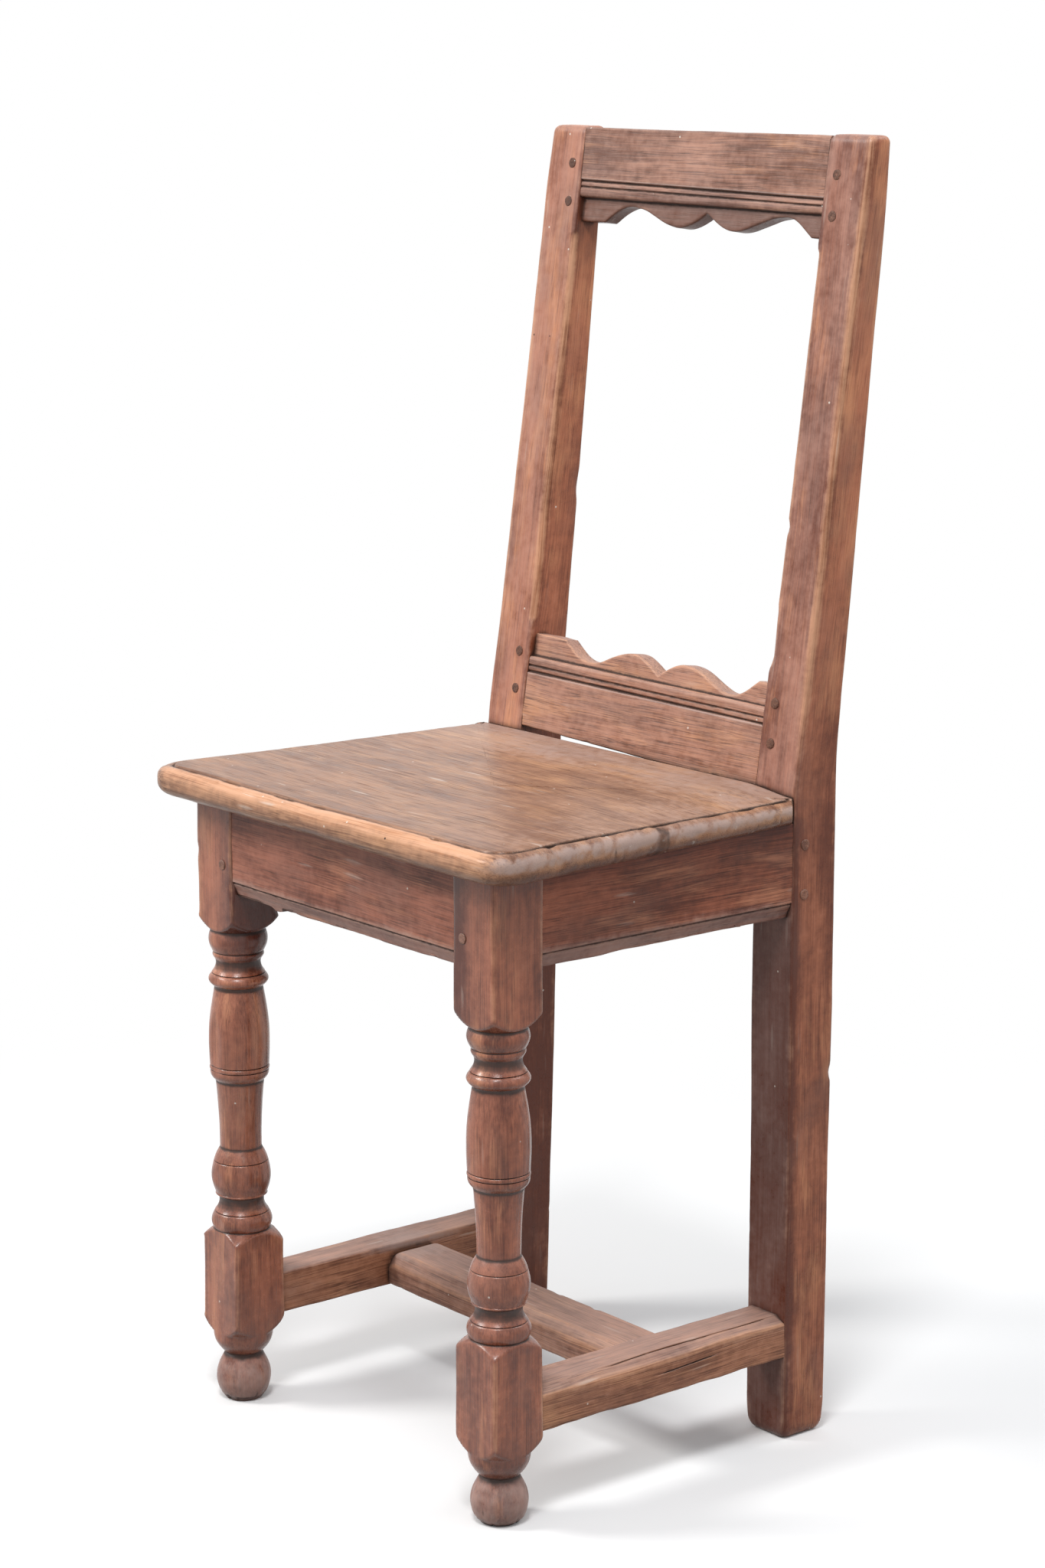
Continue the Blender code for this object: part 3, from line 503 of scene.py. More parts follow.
def rear_post(name, side, lean, seed):
    levels = post_levels()
    front, rear = post_faces(levels)
    inner, outer = POST_LOW.x, POST_HIGH.x
    low_x, high_x = (inner, outer) if side > 0 else (-outer, -inner)
    corners = polygon(levels, (low_x, front), (high_x, front), (high_x, rear), (low_x, rear))
    worn_in = 0.0
    for gap, (depth, height) in ((levels, POST_FOOT_WORN), (CHAIR_TOP - levels, POST_TOP_WORN)):
        worn_in = worn_in + depth * (1.0 - np.sqrt(1.0 - (1.0 - unit(gap / height)) ** 2))
    middle = corners.mean(axis=1, keepdims=True)
    corners = corners - np.sign(corners - middle) * worn_in[:, None, None]
    inner_front, outer_front, outer_rear = (0, 1, 2) if side > 0 else (1, 0, 3)
    soft = np.zeros((len(levels), 4))
    for corner in range(4):
        soft[:, corner] = POST_ARRIS[0] + POST_ARRIS[1] * along(levels, 0.060, seed + corner)
        soft[:, corner] += POST_CHIP * chips(levels, 0.030, seed + 30 + corner, 0.08)
    start = SEAT_TOP + (SEAT_GAP + BACK_RAIL_HEIGHT + 0.004) * math.cos(RAKE_ANGLE)
    stop = CHAIR_TOP - (CREST_DROP + BACK_RAIL_HEIGHT + 0.004) * math.cos(RAKE_ANGLE)
    chamfer = smooth_step(start, start + 0.006, levels) * smooth_step(stop, stop - 0.006, levels)
    soft[:, inner_front] += BACK_CHAMFER * chamfer * (0.80 + 0.06 * along(levels, 0.09, seed + 9))
    upper = smooth_step(SEAT_TOP, SEAT_TOP + 0.10, levels)
    soft[:, outer_front] += 0.0028 * upper
    soft[:, outer_front] += 0.0030 * smooth_step(CHAIR_TOP - 0.05, CHAIR_TOP, levels)
    soft[:, outer_rear] += 0.0022 * smooth_step(CHAIR_TOP - 0.05, CHAIR_TOP, levels)
    soft += 0.0035 * smooth_step(0.025, 0.0, levels)[:, None]
    flat, gaps = ring_points(corners, soft, (9, 9, 9, 9))
    rings = np.concatenate([flat, np.repeat(levels[:, None, None], flat.shape[1], axis=1)], axis=-1)
    rings = weathered(rings, Z, seed, 0.0005, 0.00013)
    rings[..., Z] = np.clip(rings[..., Z], 0.0, CHAIR_TOP)
    rings[..., Y] = np.clip(rings[..., Y], POST_LOW.y, POST_HIGH.y)
    rings[..., X] = np.clip(rings[..., X], low_x, high_x)
    wear = np.full((len(levels), 1, 4), 0.35)
    wear[:, 0, inner_front] += 0.65 * chamfer
    wear[:, 0, outer_front] += 0.60 * upper
    edge = nearness(gaps, wear, 0.0056)
    edge = np.maximum(edge, 0.3 * smooth_step(0.030, 0.004, levels)[:, None])
    behind = smooth_step(0.001, 0.009, rings[..., Y] - front[:, None])
    handled = bell(levels - SEAT_TOP - 0.01, 0.09)[:, None]
    below = smooth_step(SEAT_TOP, SEAT_TOP - 0.04, levels)[:, None]
    # Left post lighter; front faces darker, side faces lighter above the seat and darker at its height;
    # painted shade darkens the front face below the seat and the inner faces
    tone = 0.22 * (1.0 - below) if side < 0 else 0.02 * (1.0 - below)
    tone = tone - 0.12 * (1.0 - behind) + 0.18 * behind * (1.0 - below)
    tone = tone - 0.28 * handled * behind - 0.48 * below * (1.0 - behind)
    inside = smooth_step(0.006, 0.001, np.abs(rings[..., X] - side * inner))
    tone = tone - ((0.28 if side < 0 else 0.12) + 0.13 * below) * inside
    dust_and_sheen = 0.25 * handled * (1.0 - behind) * (1.0 - below)
    # Painted shade on the front face below the seat and on the inner face near the crest rail
    tucked = bell(levels - stop, 0.032)[:, None] * inside
    shade_and_soak = 0.35 * below * (1.0 - behind) + 0.70 * tucked
    bent = np.stack([levels * 0.0, front - POST_LOW.y, levels * 0.0], axis=-1)[:, None]
    crept = unit(1.0 - levels / SEAT_LOW.z)[:, None]
    rings[..., X] += lean[0] * crept
    rings[..., Y] += lean[1] * crept
    new_piece(name, rings, Z, (side * (outer + 0.03), POST_LOW.y - 0.05), edge, np.zeros_like(edge),
              tone, dust_and_sheen, "post_oak", seed, shade_and_soak, bent)


# Rails and stretchers

def bar(name, axis, ends, section, worn, flats, wear, crease, dust_and_sheen, slot, seed, pith,
        shaded=0.0, dusted=0.0):
    """A straight rail. section gives its polygons on the other two axes, worn each corner's softness,
    and wear, crease and dust_and_sheen how far each corner is rubbed pale, darkens in a groove or gathers
    dusting;
    shaded is how far a painted shadow darkens its top under the seat."""
    start, end = ends
    middle = np.linspace(start, end, int((end - start) / BAR_STEP) + 1)
    middle = middle[(middle > start + BAR_ENDS[-1] * 1.3) & (middle < end - BAR_ENDS[-1] * 1.3)]
    near_end = np.array(BAR_ENDS)
    stations = np.concatenate([start + near_end, middle, end - near_end[::-1]])
    corners = section(stations)
    soft = np.zeros(corners.shape[:2])
    for corner, base in enumerate(worn):
        soft[:, corner] = base * (1.0 + 0.45 * along(stations, 0.040, seed + corner))
        soft[:, corner] += 1.4 * base * chips(stations, 0.020, seed + 40 + corner, 0.14)
    flat, gaps = ring_points(corners, soft, flats)
    rings = np.zeros(flat.shape[:2] + (3,))
    others = [other for other in (X, Y, Z) if other != axis]
    rings[..., axis] = stations[:, None]
    rings[..., others[0]] = flat[..., 0]
    rings[..., others[1]] = flat[..., 1]
    rings = weathered(rings, axis, seed, 0.0004, 0.00018)
    rings[[0, -1], :, axis] = np.array([[start], [end]])
    settled = dusted * bell(np.linalg.norm(rings[..., :2] - STRETCHER_MEETING, axis=-1), 0.045)
    settled = settled * smooth_step(-0.008, -0.003, rings[..., Z] - rings[..., Z].max())
    # A painted shadow darkens the top under the seat, as far as shaded says
    new_piece(name, rings, axis, pith, nearness(gaps, wear, 0.0032), nearness(gaps, crease, 0.0016),
              0.0, np.maximum(nearness(gaps, dust_and_sheen, 0.0060), settled), slot, seed,
              shaded * smooth_step(SEAT_LOW.z - 0.015, SEAT_LOW.z - 0.001, rings[..., Z]))


def ragged(stations, seed, depth):
    """A sawn edge that isn't straight: never outside its line."""
    rough = 0.6 * along(stations, 0.035, seed) + 0.4 * along(stations, 0.011, seed + 1)
    return depth * (0.5 + 0.5 * rough)


def polygon(stations, *corners):
    """One polygon at each station, from corners whose places are numbers or run along the stations."""
    rows = []
    for corner in corners:
        rows.append(np.stack([np.broadcast_to(value, stations.shape) for value in corner], axis=-1))
    return np.stack(rows, axis=1)


def rail_section(face, back, bottom, top, seed):
    """A seat rail's section: outer face, quirk, hollow chamfer at the lower edge, plain back."""
    way = math.copysign(1.0, back - face)
    height, depth = RAIL_CHAMFER

    def section(stations):
        edge = bottom + ragged(stations, seed, 0.0012)
        return polygon(
            stations,
            (face + way * depth, edge),
            (back, bottom),
            (back, top),
            (face, top),
            (face, bottom + height + RAIL_QUIRK),
            (face + way * 1.5 * RAIL_QUIRK, bottom + height),
            (face + way * 0.8 * RAIL_QUIRK, bottom + height - RAIL_QUIRK),
            (face + way * 0.72 * depth, bottom + 0.45 * height))
    return section


def seat_rails():
    bottom, top = FRONT_RAIL_LOW.z, FRONT_RAIL_HIGH.z
    worn = (0.0016, 0.0015, 0.0010, 0.0010, 0.0003, 0.0002, 0.0003, 0.0030)
    wear = (0.35, 0.20, 0.0, 0.0, 0.45, 0.0, 0.45, 0.0)
    crease = (0.0, 0.0, 0.0, 0.0, 0.0, 0.75, 0.0, 0.1)
    dust_and_sheen = (0.5, 0.0, 0.0, 0.0, 0.3, 0.0, 0.6, 0.6)
    flats = (7, 10, 7, 14, 1, 1, 2, 2)
    finish = (worn, flats, wear, crease, dust_and_sheen, "rail_oak")
    inner = LEG_LOW.x + JOINT_BITE
    section = rail_section(FRONT_RAIL_LOW.y, FRONT_RAIL_HIGH.y, bottom, top, 214)
    bar("front_seat_rail", X, (-inner, inner), section, *finish, 211,
        (FRONT_RAIL_LOW.y - 0.02, bottom - 0.05), 0.5)
    inner = POST_LOW.x + JOINT_BITE
    section = rail_section(REAR_RAIL_HIGH.y, REAR_RAIL_LOW.y, bottom, top, 226)
    bar("rear_seat_rail", X, (-inner, inner), section, *finish, 223, (REAR_RAIL_HIGH.y + 0.03, bottom + 0.02))
    ends = LEG_HIGH.y - JOINT_BITE, POST_LOW.y + JOINT_BITE
    for name, side in SIDES:
        section = rail_section(side * SIDE_RAIL_HIGH.x, side * SIDE_RAIL_LOW.x, bottom, top, 240 + side)
        bar(f"{name}_seat_rail", Y, ends, section, *finish, 230 + 7 * side,
            (bottom - 0.03, side * (SIDE_RAIL_HIGH.x + 0.02)), 1.0)


def stretcher_section(side, seed):
    """A side stretcher's section, split along its chamfer and along its outer face."""
    inner, outer = side * STRETCHER_LOW.x, side * STRETCHER_HIGH.x
    bottom, top = STRETCHER_LOW.z, STRETCHER_HIGH.z
    height, width = STRETCHER_CHAMFER
    lip = 0.0006

    def section(stations):
        drop = height * (1.0 + 0.35 * along(stations, 0.050, seed))
        ledge = outer - side * width * (1.15 + 0.35 * along(stations, 0.060, seed + 1))
        split = 0.0026 * smooth_step(-0.085, -0.030, stations) * smooth_step(0.100, 0.085, stations)
        split = split * (0.75 + 0.25 * along(stations, 0.02, seed + 2)) + 0.0002
        line = bottom + 0.018 + 0.05 * (stations - 0.02)
        shake = 0.0016 * smooth_step(-0.020, 0.005, stations) * smooth_step(0.045, 0.025, stations) + 0.0001
        foot = bottom + ragged(stations, seed + 3, 0.0016)
        return polygon(
            stations,
            (outer, foot),
            (outer, line - lip),
            (outer - side * shake, line),
            (outer, line + lip),
            (outer, top - drop),
            (ledge + side * lip, top - 0.0004),
            (ledge, top - split),
            (ledge - side * lip, top),
            (inner, top),
            (inner, bottom))
    return section


def stretchers():
    ends = LEG_HIGH.y - JOINT_BITE, POST_LOW.y + JOINT_BITE
    worn = (0.0020, 0.0002, 0.0001, 0.0002, 0.0018, 0.0002, 0.0001, 0.0004, 0.0024, 0.0020)
    wear = (0.4, 0.1, 0.0, 0.1, 0.75, 0.3, 0.0, 0.3, 0.45, 0.3)
    crease = (0.0, 0.0, 0.0, 0.0, 0.0, 0.0, 0.35, 0.0, 0.0, 0.0)
    dust_and_sheen = (0.0, 0.0, 0.0, 0.0, 0.2, 0.2, 0.0, 0.2, 0.0, 0.0)
    flats = (6, 1, 1, 3, 4, 1, 1, 9, 8, 9)
    for name, side in SIDES:
        section = stretcher_section(side, 270 + side)
        bar(f"{name}_stretcher", Y, ends, section, worn, flats, wear, crease, dust_and_sheen, "stretcher_oak",
            260 + 7 * side, (STRETCHER_HIGH.z + 0.03, side * STRETCHER_HIGH.x), dusted=0.9)
    height, width = CROSS_CHAMFER
    inner = STRETCHER_LOW.x + JOINT_BITE

    def cross_section(stations):
        from_end = inner - np.abs(stations)
        top = CROSS_HIGH.z - 0.0035 * bell(from_end, 0.005)
        return polygon(
            stations,
            (CROSS_LOW.y, CROSS_LOW.z + ragged(stations, 285, 0.0012)),
            (CROSS_HIGH.y, CROSS_LOW.z),
            (CROSS_HIGH.y, top),
            (CROSS_LOW.y + width, top),
            (CROSS_LOW.y, top - height * (1.0 + 0.3 * along(stations, 0.05, 288))))

    worn = (0.0020, 0.0020, 0.0026, 0.0024, 0.0022)
    wear = (0.4, 0.2, 0.3, 0.6, 0.6)
    clean = (0.0,) * len(worn)
    bar("cross_stretcher", X, (-inner, inner), cross_section, worn, (9, 7, 10, 4, 6), wear, clean, clean,
        "stretcher_oak", 281, (CROSS_LOW.y - 0.02, CROSS_HIGH.z + 0.05), dusted=0.9)


# Back rails

def scallop_rise(x, shift, half):
    """How far the scalloped edge stands in from its feet: foot, hollow, lobe and pointed nick."""
    span = half - SCALLOP_FOOT - abs(shift)
    place = np.abs(x - shift) / span
    hollow = SCALLOP_DEPTH * np.sin(math.pi / 2 * unit((1.0 - place) / (1.0 - HOLLOW_PLACE)))
    share = unit((HOLLOW_PLACE - place) / (HOLLOW_PLACE - LOBE_PLACE))
    wave = SCALLOP_DEPTH * (1.0 + np.cos(math.pi * share)) / 2
    nick = NICK_DEPTH * (1.0 - np.cos(math.pi / 2 * unit((LOBE_PLACE - place) / LOBE_PLACE)))
    return np.where(place > HOLLOW_PLACE, hollow, np.where(place > LOBE_PLACE, wave, nick))


def back_rail(name, tip, way, shift, skew, rubbed, lip_tone_and_shade, face_tone, seed):
    """A rail of the back; its sizes run from the scalloped edge's tip towards the plain edge."""
    half = POST_LOW.x + JOINT_BITE
    x = np.linspace(-half, half, int(2 * half / BACK_RAIL_STEP) + 1)
    share = (x + half) / (2 * half)
    off = [left + (right - left) * share for left, right in skew]
    rise = scallop_rise(x, shift, POST_LOW.x) + 0.0005 * along(x, 0.014, seed + 3)
    rise = np.maximum(rise + off[0], 0.0)
    lip = LIP_HEIGHT + off[1]
    line = LIP_HEIGHT + BAND_HEIGHT + off[2]
    plain = BACK_RAIL_HEIGHT + np.minimum(off[3], SEAT_GAP + SEAT_PRESS) - ragged(x, seed + 5, 0.0004)
    face, rear = -BACK_RAIL_SETBACK, -BACK_RAIL_SETBACK - BACK_RAIL_THICKNESS
    corners = polygon(
        x,
        (plain, rear),
        (plain, face),
        (line + 0.0014, face),
        (line + 0.0002, face - QUIRK_DEPTH),
        (line - 0.0013, face - 0.0008),
        (line - 0.0034, face - 0.0006),
        (line - 0.0044, face - 0.0017),
        (line - 0.0055, face - 0.0006),
        (lip, face - 0.0002),
        (lip, face - LIP_RECESS),
        (rise, face - LIP_RECESS),
        (rise, rear))
    soft = np.zeros(corners.shape[:2])
    sizes = (0.0014, 0.0014, 0.0004, 0.0002, 0.0004, 0.0003,
             0.0002, 0.0003, BAND_NOSE, 0.0005, 0.0018, 0.0010)
    for corner, base in enumerate(sizes):
        soft[:, corner] = base * (1.0 + 0.3 * along(x, 0.030, seed + 10 + corner))
    soft[:, 1] += 0.0014 * chips(x, 0.018, seed + 25, 0.15)
    soft[:, 10] += 0.0016 * chips(x, 0.010, seed + 26, 0.2)
    flat, gaps = ring_points(corners, soft, (5, 12, 1, 1, 1, 1, 1, 3, 2, 5, 5, 13))
    slope = tip + way * flat[..., 0]
    out = flat[..., 1]
    rings = np.stack([
        np.repeat(x[:, None], flat.shape[1], axis=1),
        POST_LOW.y + slope * math.sin(RAKE_ANGLE) - out * math.cos(RAKE_ANGLE),
        SEAT_TOP + slope * math.cos(RAKE_ANGLE) + out * math.sin(RAKE_ANGLE)], axis=-1)
    rings = weathered(rings, X, seed, 0.0003, 0.00014)
    rings[[0, -1], :, X] = np.array([[-half], [half]])
    rings[..., Z] = np.minimum(rings[..., Z], CHAIR_TOP)
    edge = nearness(gaps, (0.2, 0.35, 0.35, 0.0, 0.25, 0.2, 0.0, 0.2, 0.45, 0.0, rubbed, 0.3), 0.0026)
    crease = nearness(gaps, (0.0, 0.0, 0.0, 1.0, 0.0, 0.0, 0.8, 0.0, 0.0, 1.0, 0.0, 0.0), 0.0017)
    dust_and_sheen = nearness(gaps, (0.0, 0.1, 0.8, 0.0, 0.4, 0.4, 0.0, 0.4, 0.2, 0.0, 0.0, 0.0), 0.0012)
    # The lip under the band: painted shade on the crest rail, a touch lighter on the lower rail
    tone = lip_tone_and_shade * smooth_step(lip[:, None] + 0.0045, lip[:, None], flat[..., 0]) + face_tone
    new_piece(name, rings, X, (POST_LOW.y + 0.02, SEAT_TOP + tip - way * 0.06), edge, crease, tone, dust_and_sheen,
              "back_oak", seed)


# Seat board

def inset_polygon(corners, insets):
    """A convex polygon with each of its edges moved in by its own amount."""
    ahead = np.roll(corners, -1, axis=0) - corners
    normal = np.stack([-ahead[:, 1], ahead[:, 0]], axis=-1) / np.linalg.norm(ahead, axis=1)[:, None]
    offset = np.einsum("ij,ij->i", normal, corners) + insets
    moved = []
    for k in range(len(corners)):
        pair = np.array([normal[k - 1], normal[k]])
        moved.append(np.linalg.solve(pair, np.array([offset[k - 1], offset[k]])))
    return np.array(moved)


def seat_profile():
    """The edge from the top face to the underside: inset of the moulded edges, inset of the sawn rear
    ones, drop below the top face on each of the two, and how worn and how dirty the place is."""
    thick = SEAT_HIGH.z - SEAT_LOW.z
    rows = [
        (0.0200, 0.0150, 0.0000, 0.0000, 0.0, 0.0),
        (0.0160, 0.0110, 0.0000, 0.0000, 0.0, 0.0),
        (0.0130, 0.0080, 0.0000, 0.0000, 0.0, 0.0),
        (QUIRK_INSET + 0.0014, 0.0062, 0.0001, 0.0000, 0.1, 0.0),
        (QUIRK_INSET + 0.0008, 0.0052, 0.0007, 0.0000, 0.0, 0.5),
        (QUIRK_INSET + 0.0003, 0.0046, 0.0022, 0.0000, 0.0, 1.0),
        (QUIRK_INSET - 0.0002, 0.0040, 0.0024, 0.0000, 0.0, 1.0),
        (QUIRK_INSET - 0.0007, 0.0034, 0.0016, 0.0000, 0.0, 0.6),
        (QUIRK_INSET - 0.0012, 0.0028, 0.0011, 0.0000, 0.3, 0.0),
    ]
    steps = 9
    crown = 0.0010
    for step in range(1, steps + 1):
        turn = math.pi / 2 * step / steps
        share = step / steps
        rows.append((SEAT_NOSE * (1.0 - math.sin(turn)), 0.0022 * (1.0 - share) ** 2,
                     crown + (SEAT_NOSE - crown) * (1.0 - math.cos(turn)), SEAT_NOSE * share ** 2,
                     1.0 - 0.4 * share ** 2, 0.0))
    low = thick - SEAT_NOSE
    rows.append((0.0, 0.0, (SEAT_NOSE + low) / 2, (SEAT_NOSE + low) / 2, 0.5, 0.0))
    for step in range(0, steps + 1):
        turn = math.pi / 2 * step / steps
        share = step / steps
        rows.append((SEAT_NOSE * (1.0 - math.cos(turn)), 0.0018 * share ** 2,
                     low + SEAT_NOSE * math.sin(turn), low + SEAT_NOSE * (1.0 - (1.0 - share) ** 2),
                     0.4 * (1.0 - share), 0.0))
    rows.append((0.0130, 0.0060, thick, thick, 0.0, 0.0))
    rows.append((0.0200, 0.0150, thick, thick, 0.0, 0.0))
    return np.array(rows)


def seat_board(name, seed):
    front, rear = SEAT_LOW.y, SEAT_HIGH.y
    outer = POST_HIGH.x
    front_half, rear_half = SEAT_FRONT_WIDTH / 2, SEAT_REAR_WIDTH / 2
    lean = (front_half - rear_half) / (rear - front)
    clip = (rear_half - outer) / (1.0 - lean)
    outline = np.array([
        (SEAT_SHIFT - front_half, front), (front_half, front),
        (outer + clip, rear - clip), (outer, rear),
        (-outer, rear), (-outer - clip, rear - clip)])
    moulded_edges = np.array([1.0, 1.0, 0.0, 0.0, 0.0, 1.0])
    end_edges = np.array([0.0, 1.0, 0.0, 0.0, 0.0, 1.0])
    flats, arc_steps = (170, 200, 3, 96, 3, 120), 14
    profile = seat_profile()
    corners, soft = [], []
    for moulded, sawn in profile[:, :2]:
        corners.append(inset_polygon(outline, np.where(moulded_edges == 1.0, moulded, sawn)))
        turn = max(SEAT_CORNER - 0.9 * moulded, 0.008)
        soft.append((turn, turn, 0.0012, 0.0008, 0.0008, 0.0012))
    flat, _ = ring_points(np.array(corners), np.array(soft), flats, arc_steps)
    moulded, end_grain = [], []
    for k, count in enumerate(flats):
        for share in np.linspace(0.0, 1.0, arc_steps + 1):
            moulded.append(moulded_edges[k - 1] * (1.0 - share) + moulded_edges[k] * share)
            end_grain.append(end_edges[k - 1] * (1.0 - share) + end_edges[k] * share)
        moulded += [moulded_edges[k]] * (count - 1)
        end_grain += [end_edges[k]] * (count - 1)
    moulded, end_grain = np.array(moulded), np.array(end_grain)
    around = flat.shape[1]
    drop = profile[:, 2:3] * moulded + profile[:, 3:4] * (1.0 - moulded)
    edge = profile[:, 4:5] * moulded * (1.0 - 0.95 * end_grain)
    crease = profile[:, 5:6] * moulded * (0.55 + 0.45 * end_grain)
    centre = flat[0].mean(axis=0)
    inner = [centre + (flat[0] - centre) * share for share in np.linspace(0.02, 1.0, 46)[:-1]]
    under = [centre + (flat[-1] - centre) * share for share in np.linspace(1.0, 0.02, 14)[1:]]
    thick = SEAT_HIGH.z - SEAT_LOW.z
    plan = np.concatenate([np.array(inner), flat, np.array(under)])
    top_blank, under_blank = np.zeros((len(inner), around)), np.zeros((len(under), around))
    drops = np.concatenate([top_blank, drop, under_blank + thick])
    edge = np.concatenate([top_blank, edge, under_blank])
    crease = np.concatenate([top_blank, crease, under_blank])
    rings = np.concatenate([plan, (SEAT_HIGH.z - drops)[..., None]], axis=-1)
    normal = ring_normals(rings)
    outward = np.where(normal[10, :, 2:].mean() > 0.0, 1.0, -1.0)
    flat_run = rings * np.array([1.0, 1.0, 0.0])
    hollow = SEAT_HOLLOW * unit(layered(flat_run, 0.15, seed) + 0.2)
    hollow += SEAT_RIDGES * (noise(flat_run, (0.090, 0.0045, 1.0), seed + 4) + 1.0) / 2
    dents = NOSE_WAVES * unit(noise(flat_run, 0.022, seed + 5) + 0.1)
    dents += NOSE_DENTS * unit(noise(rings, (0.016, 0.012, 0.012), seed + 6) - 0.50)
    checks = END_CHECKS * unit(noise(rings, (0.05, 0.0040, 0.05), seed + 8) - 0.35) * end_grain
    nose = (drops > 0.0008) & (drops < thick - 0.0005)
    depth = hollow * smooth_step(0.004, 0.0, drops) + np.where(nose, dents + checks, 0.0)
    rings = rings - outward * normal * depth[..., None]
    back = smooth_step(front + 0.05, rear, rings[..., Y])
    right = smooth_step(outer - 0.05, outer + 0.01, rings[..., X])
    dip = SEAT_DIP * right * back * (1.0 - drops / thick)
    rings[..., Z] = np.minimum(rings[..., Z], SEAT_HIGH.z) - dip
    rings[..., X] = np.clip(rings[..., X], -SEAT_HIGH.x, SEAT_HIGH.x)
    on_nose = np.where(drops > 0.0008, 1.0, 0.0)
    crease = np.maximum(crease, np.clip(checks * 900.0, 0.0, 0.8) * on_nose)
    rings_seen = layered(rings, (0.02, 0.004, 0.004), seed + 21)
    round_share = drops / thick
    # Painted shade on the lower part of each end roll
    shade_and_soak = on_nose * end_grain * np.clip(2.2 * round_share - 1.0 + 0.20 * rings_seen, 0.0, 0.9)
    # A painted sheen along the upper middle of the end rolls, strongest towards the front corners
    sheen_band = bell(round_share - 0.32, 0.22) * (0.80 + 0.40 * rings_seen)
    slanted = rings + np.stack([drops * 0.0, 0.8 * drops, drops * 0.0], axis=-1)
    wrinkles = smooth_step(0.10, 0.45, noise(slanted, (0.05, 0.0055, 0.05), seed + 23))
    shade_and_soak = np.maximum(shade_and_soak, (0.22 + 0.30 * wrinkles) * on_nose * end_grain)
    sheen_band = sheen_band * (1.0 - 0.40 * wrinkles)
    at_corner = smooth_step(0.30, 0.02, np.hypot(plan[..., X] - front_half, plan[..., Y] - front))
    pale_and_sheen = on_nose * unit(1.6 * end_grain) * unit(sheen_band * (1.10 + 0.6 * at_corner))
    to_rear = smooth_step(0.0, 0.075, plan[..., Y])
    # The top is paler and greyer towards the right and towards the rear
    pale_and_sheen += (1.0 - on_nose) * np.maximum(0.30 * smooth_step(0.03, 0.16, plan[..., X]), 0.55 * to_rear)
    # Painted light: the end rolls are lighter about their middle and along their top
    end_tone_and_light = 0.36 * bell(round_share - 0.42, 0.20) + 0.10 * rings_seen
    end_tone_and_light = end_tone_and_light + 0.10 * smooth_step(0.16, 0.05, round_share)
    tone = on_nose * (0.02 + end_grain * end_tone_and_light)
    # The top is lighter towards the rear
    tone = tone + 0.17 * (1.0 - on_nose) * to_rear
    new_piece(name, rings, X, (-0.02, SEAT_LOW.z - 0.10), edge, crease, tone, pale_and_sheen, "seat_oak",
              seed, shade_and_soak)


# Pegs

def peg_axis(name):
    side = -1 if name.startswith("left") else 1
    if "crest" in name or "lower_back" in name:
        return Vector((0.0, -math.cos(RAKE_ANGLE), math.sin(RAKE_ANGLE)))
    if "front_rail" in name:
        return Vector((0.0, -1.0, 0.0))
    if "rear_rail" in name:
        return Vector((0.0, 1.0, 0.0))
    return Vector((side, 0.0, 0.0))


def peg(name, seed):
    """A hand-whittled peg whose worn head stands a little proud of the wood."""
    axis = peg_axis(name)
    points = [Vector(v.co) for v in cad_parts[name].data.vertices]
    middle = sum(points, Vector()) / len(points)
    head = max((p - middle).dot(axis) for p in points)
    tail = min((p - middle).dot(axis) for p in points)
    radius = max((p - middle - axis * (p - middle).dot(axis)).length for p in points)
    turn = axis.to_track_quat("Z", "Y").to_matrix()
    angle = np.arange(PEG_AROUND) * 2 * math.pi / PEG_AROUND
    shape = 1.0 - 0.10 * (0.5 + 0.5 * along(np.cos(angle) * 0.01 + np.sin(angle) * 0.007, 0.006, seed))
    head += PEG_PROUD
    rows = [(tail, 0.92), (tail * 0.5 + head * 0.5, 1.0), (head - 0.0016, 1.0), (head - 0.0008, 1.0),
            (head - 0.0003, 0.98), (head - 0.0001, 0.92), (head, 0.8), (head, 0.45), (head - 0.0001, 0.15)]
    level, share = np.array(rows).T[..., None]
    across = radius * share * shape
    local = np.stack([across * np.cos(angle), across * np.sin(angle), level + 0.0 * across], axis=-1)
    rings = np.array(middle) + local @ np.array(turn).T
    edge = np.repeat(np.array([0.0, 0.0, 0.0, 0.0, 0.0, 0.2, 0.3, 0.3, 0.3])[:, None], len(angle), axis=1)
    crease = np.repeat(np.array([1.0, 1.0, 1.0, 1.0, 0.7, 0.2, 0.0, 0.0, 0.0])[:, None], len(angle), axis=1)
    fibre = max(range(3), key=lambda k: abs(axis[k]))
    new_piece(name, rings, fibre, (0.011 * (seed % 5), -0.007 * (seed % 7)), edge, crease, 0.0, 0.0,
              "peg_oak", seed)


# Dirt and painted shade in the corners, dusting and painted sheen on what faces up or forward

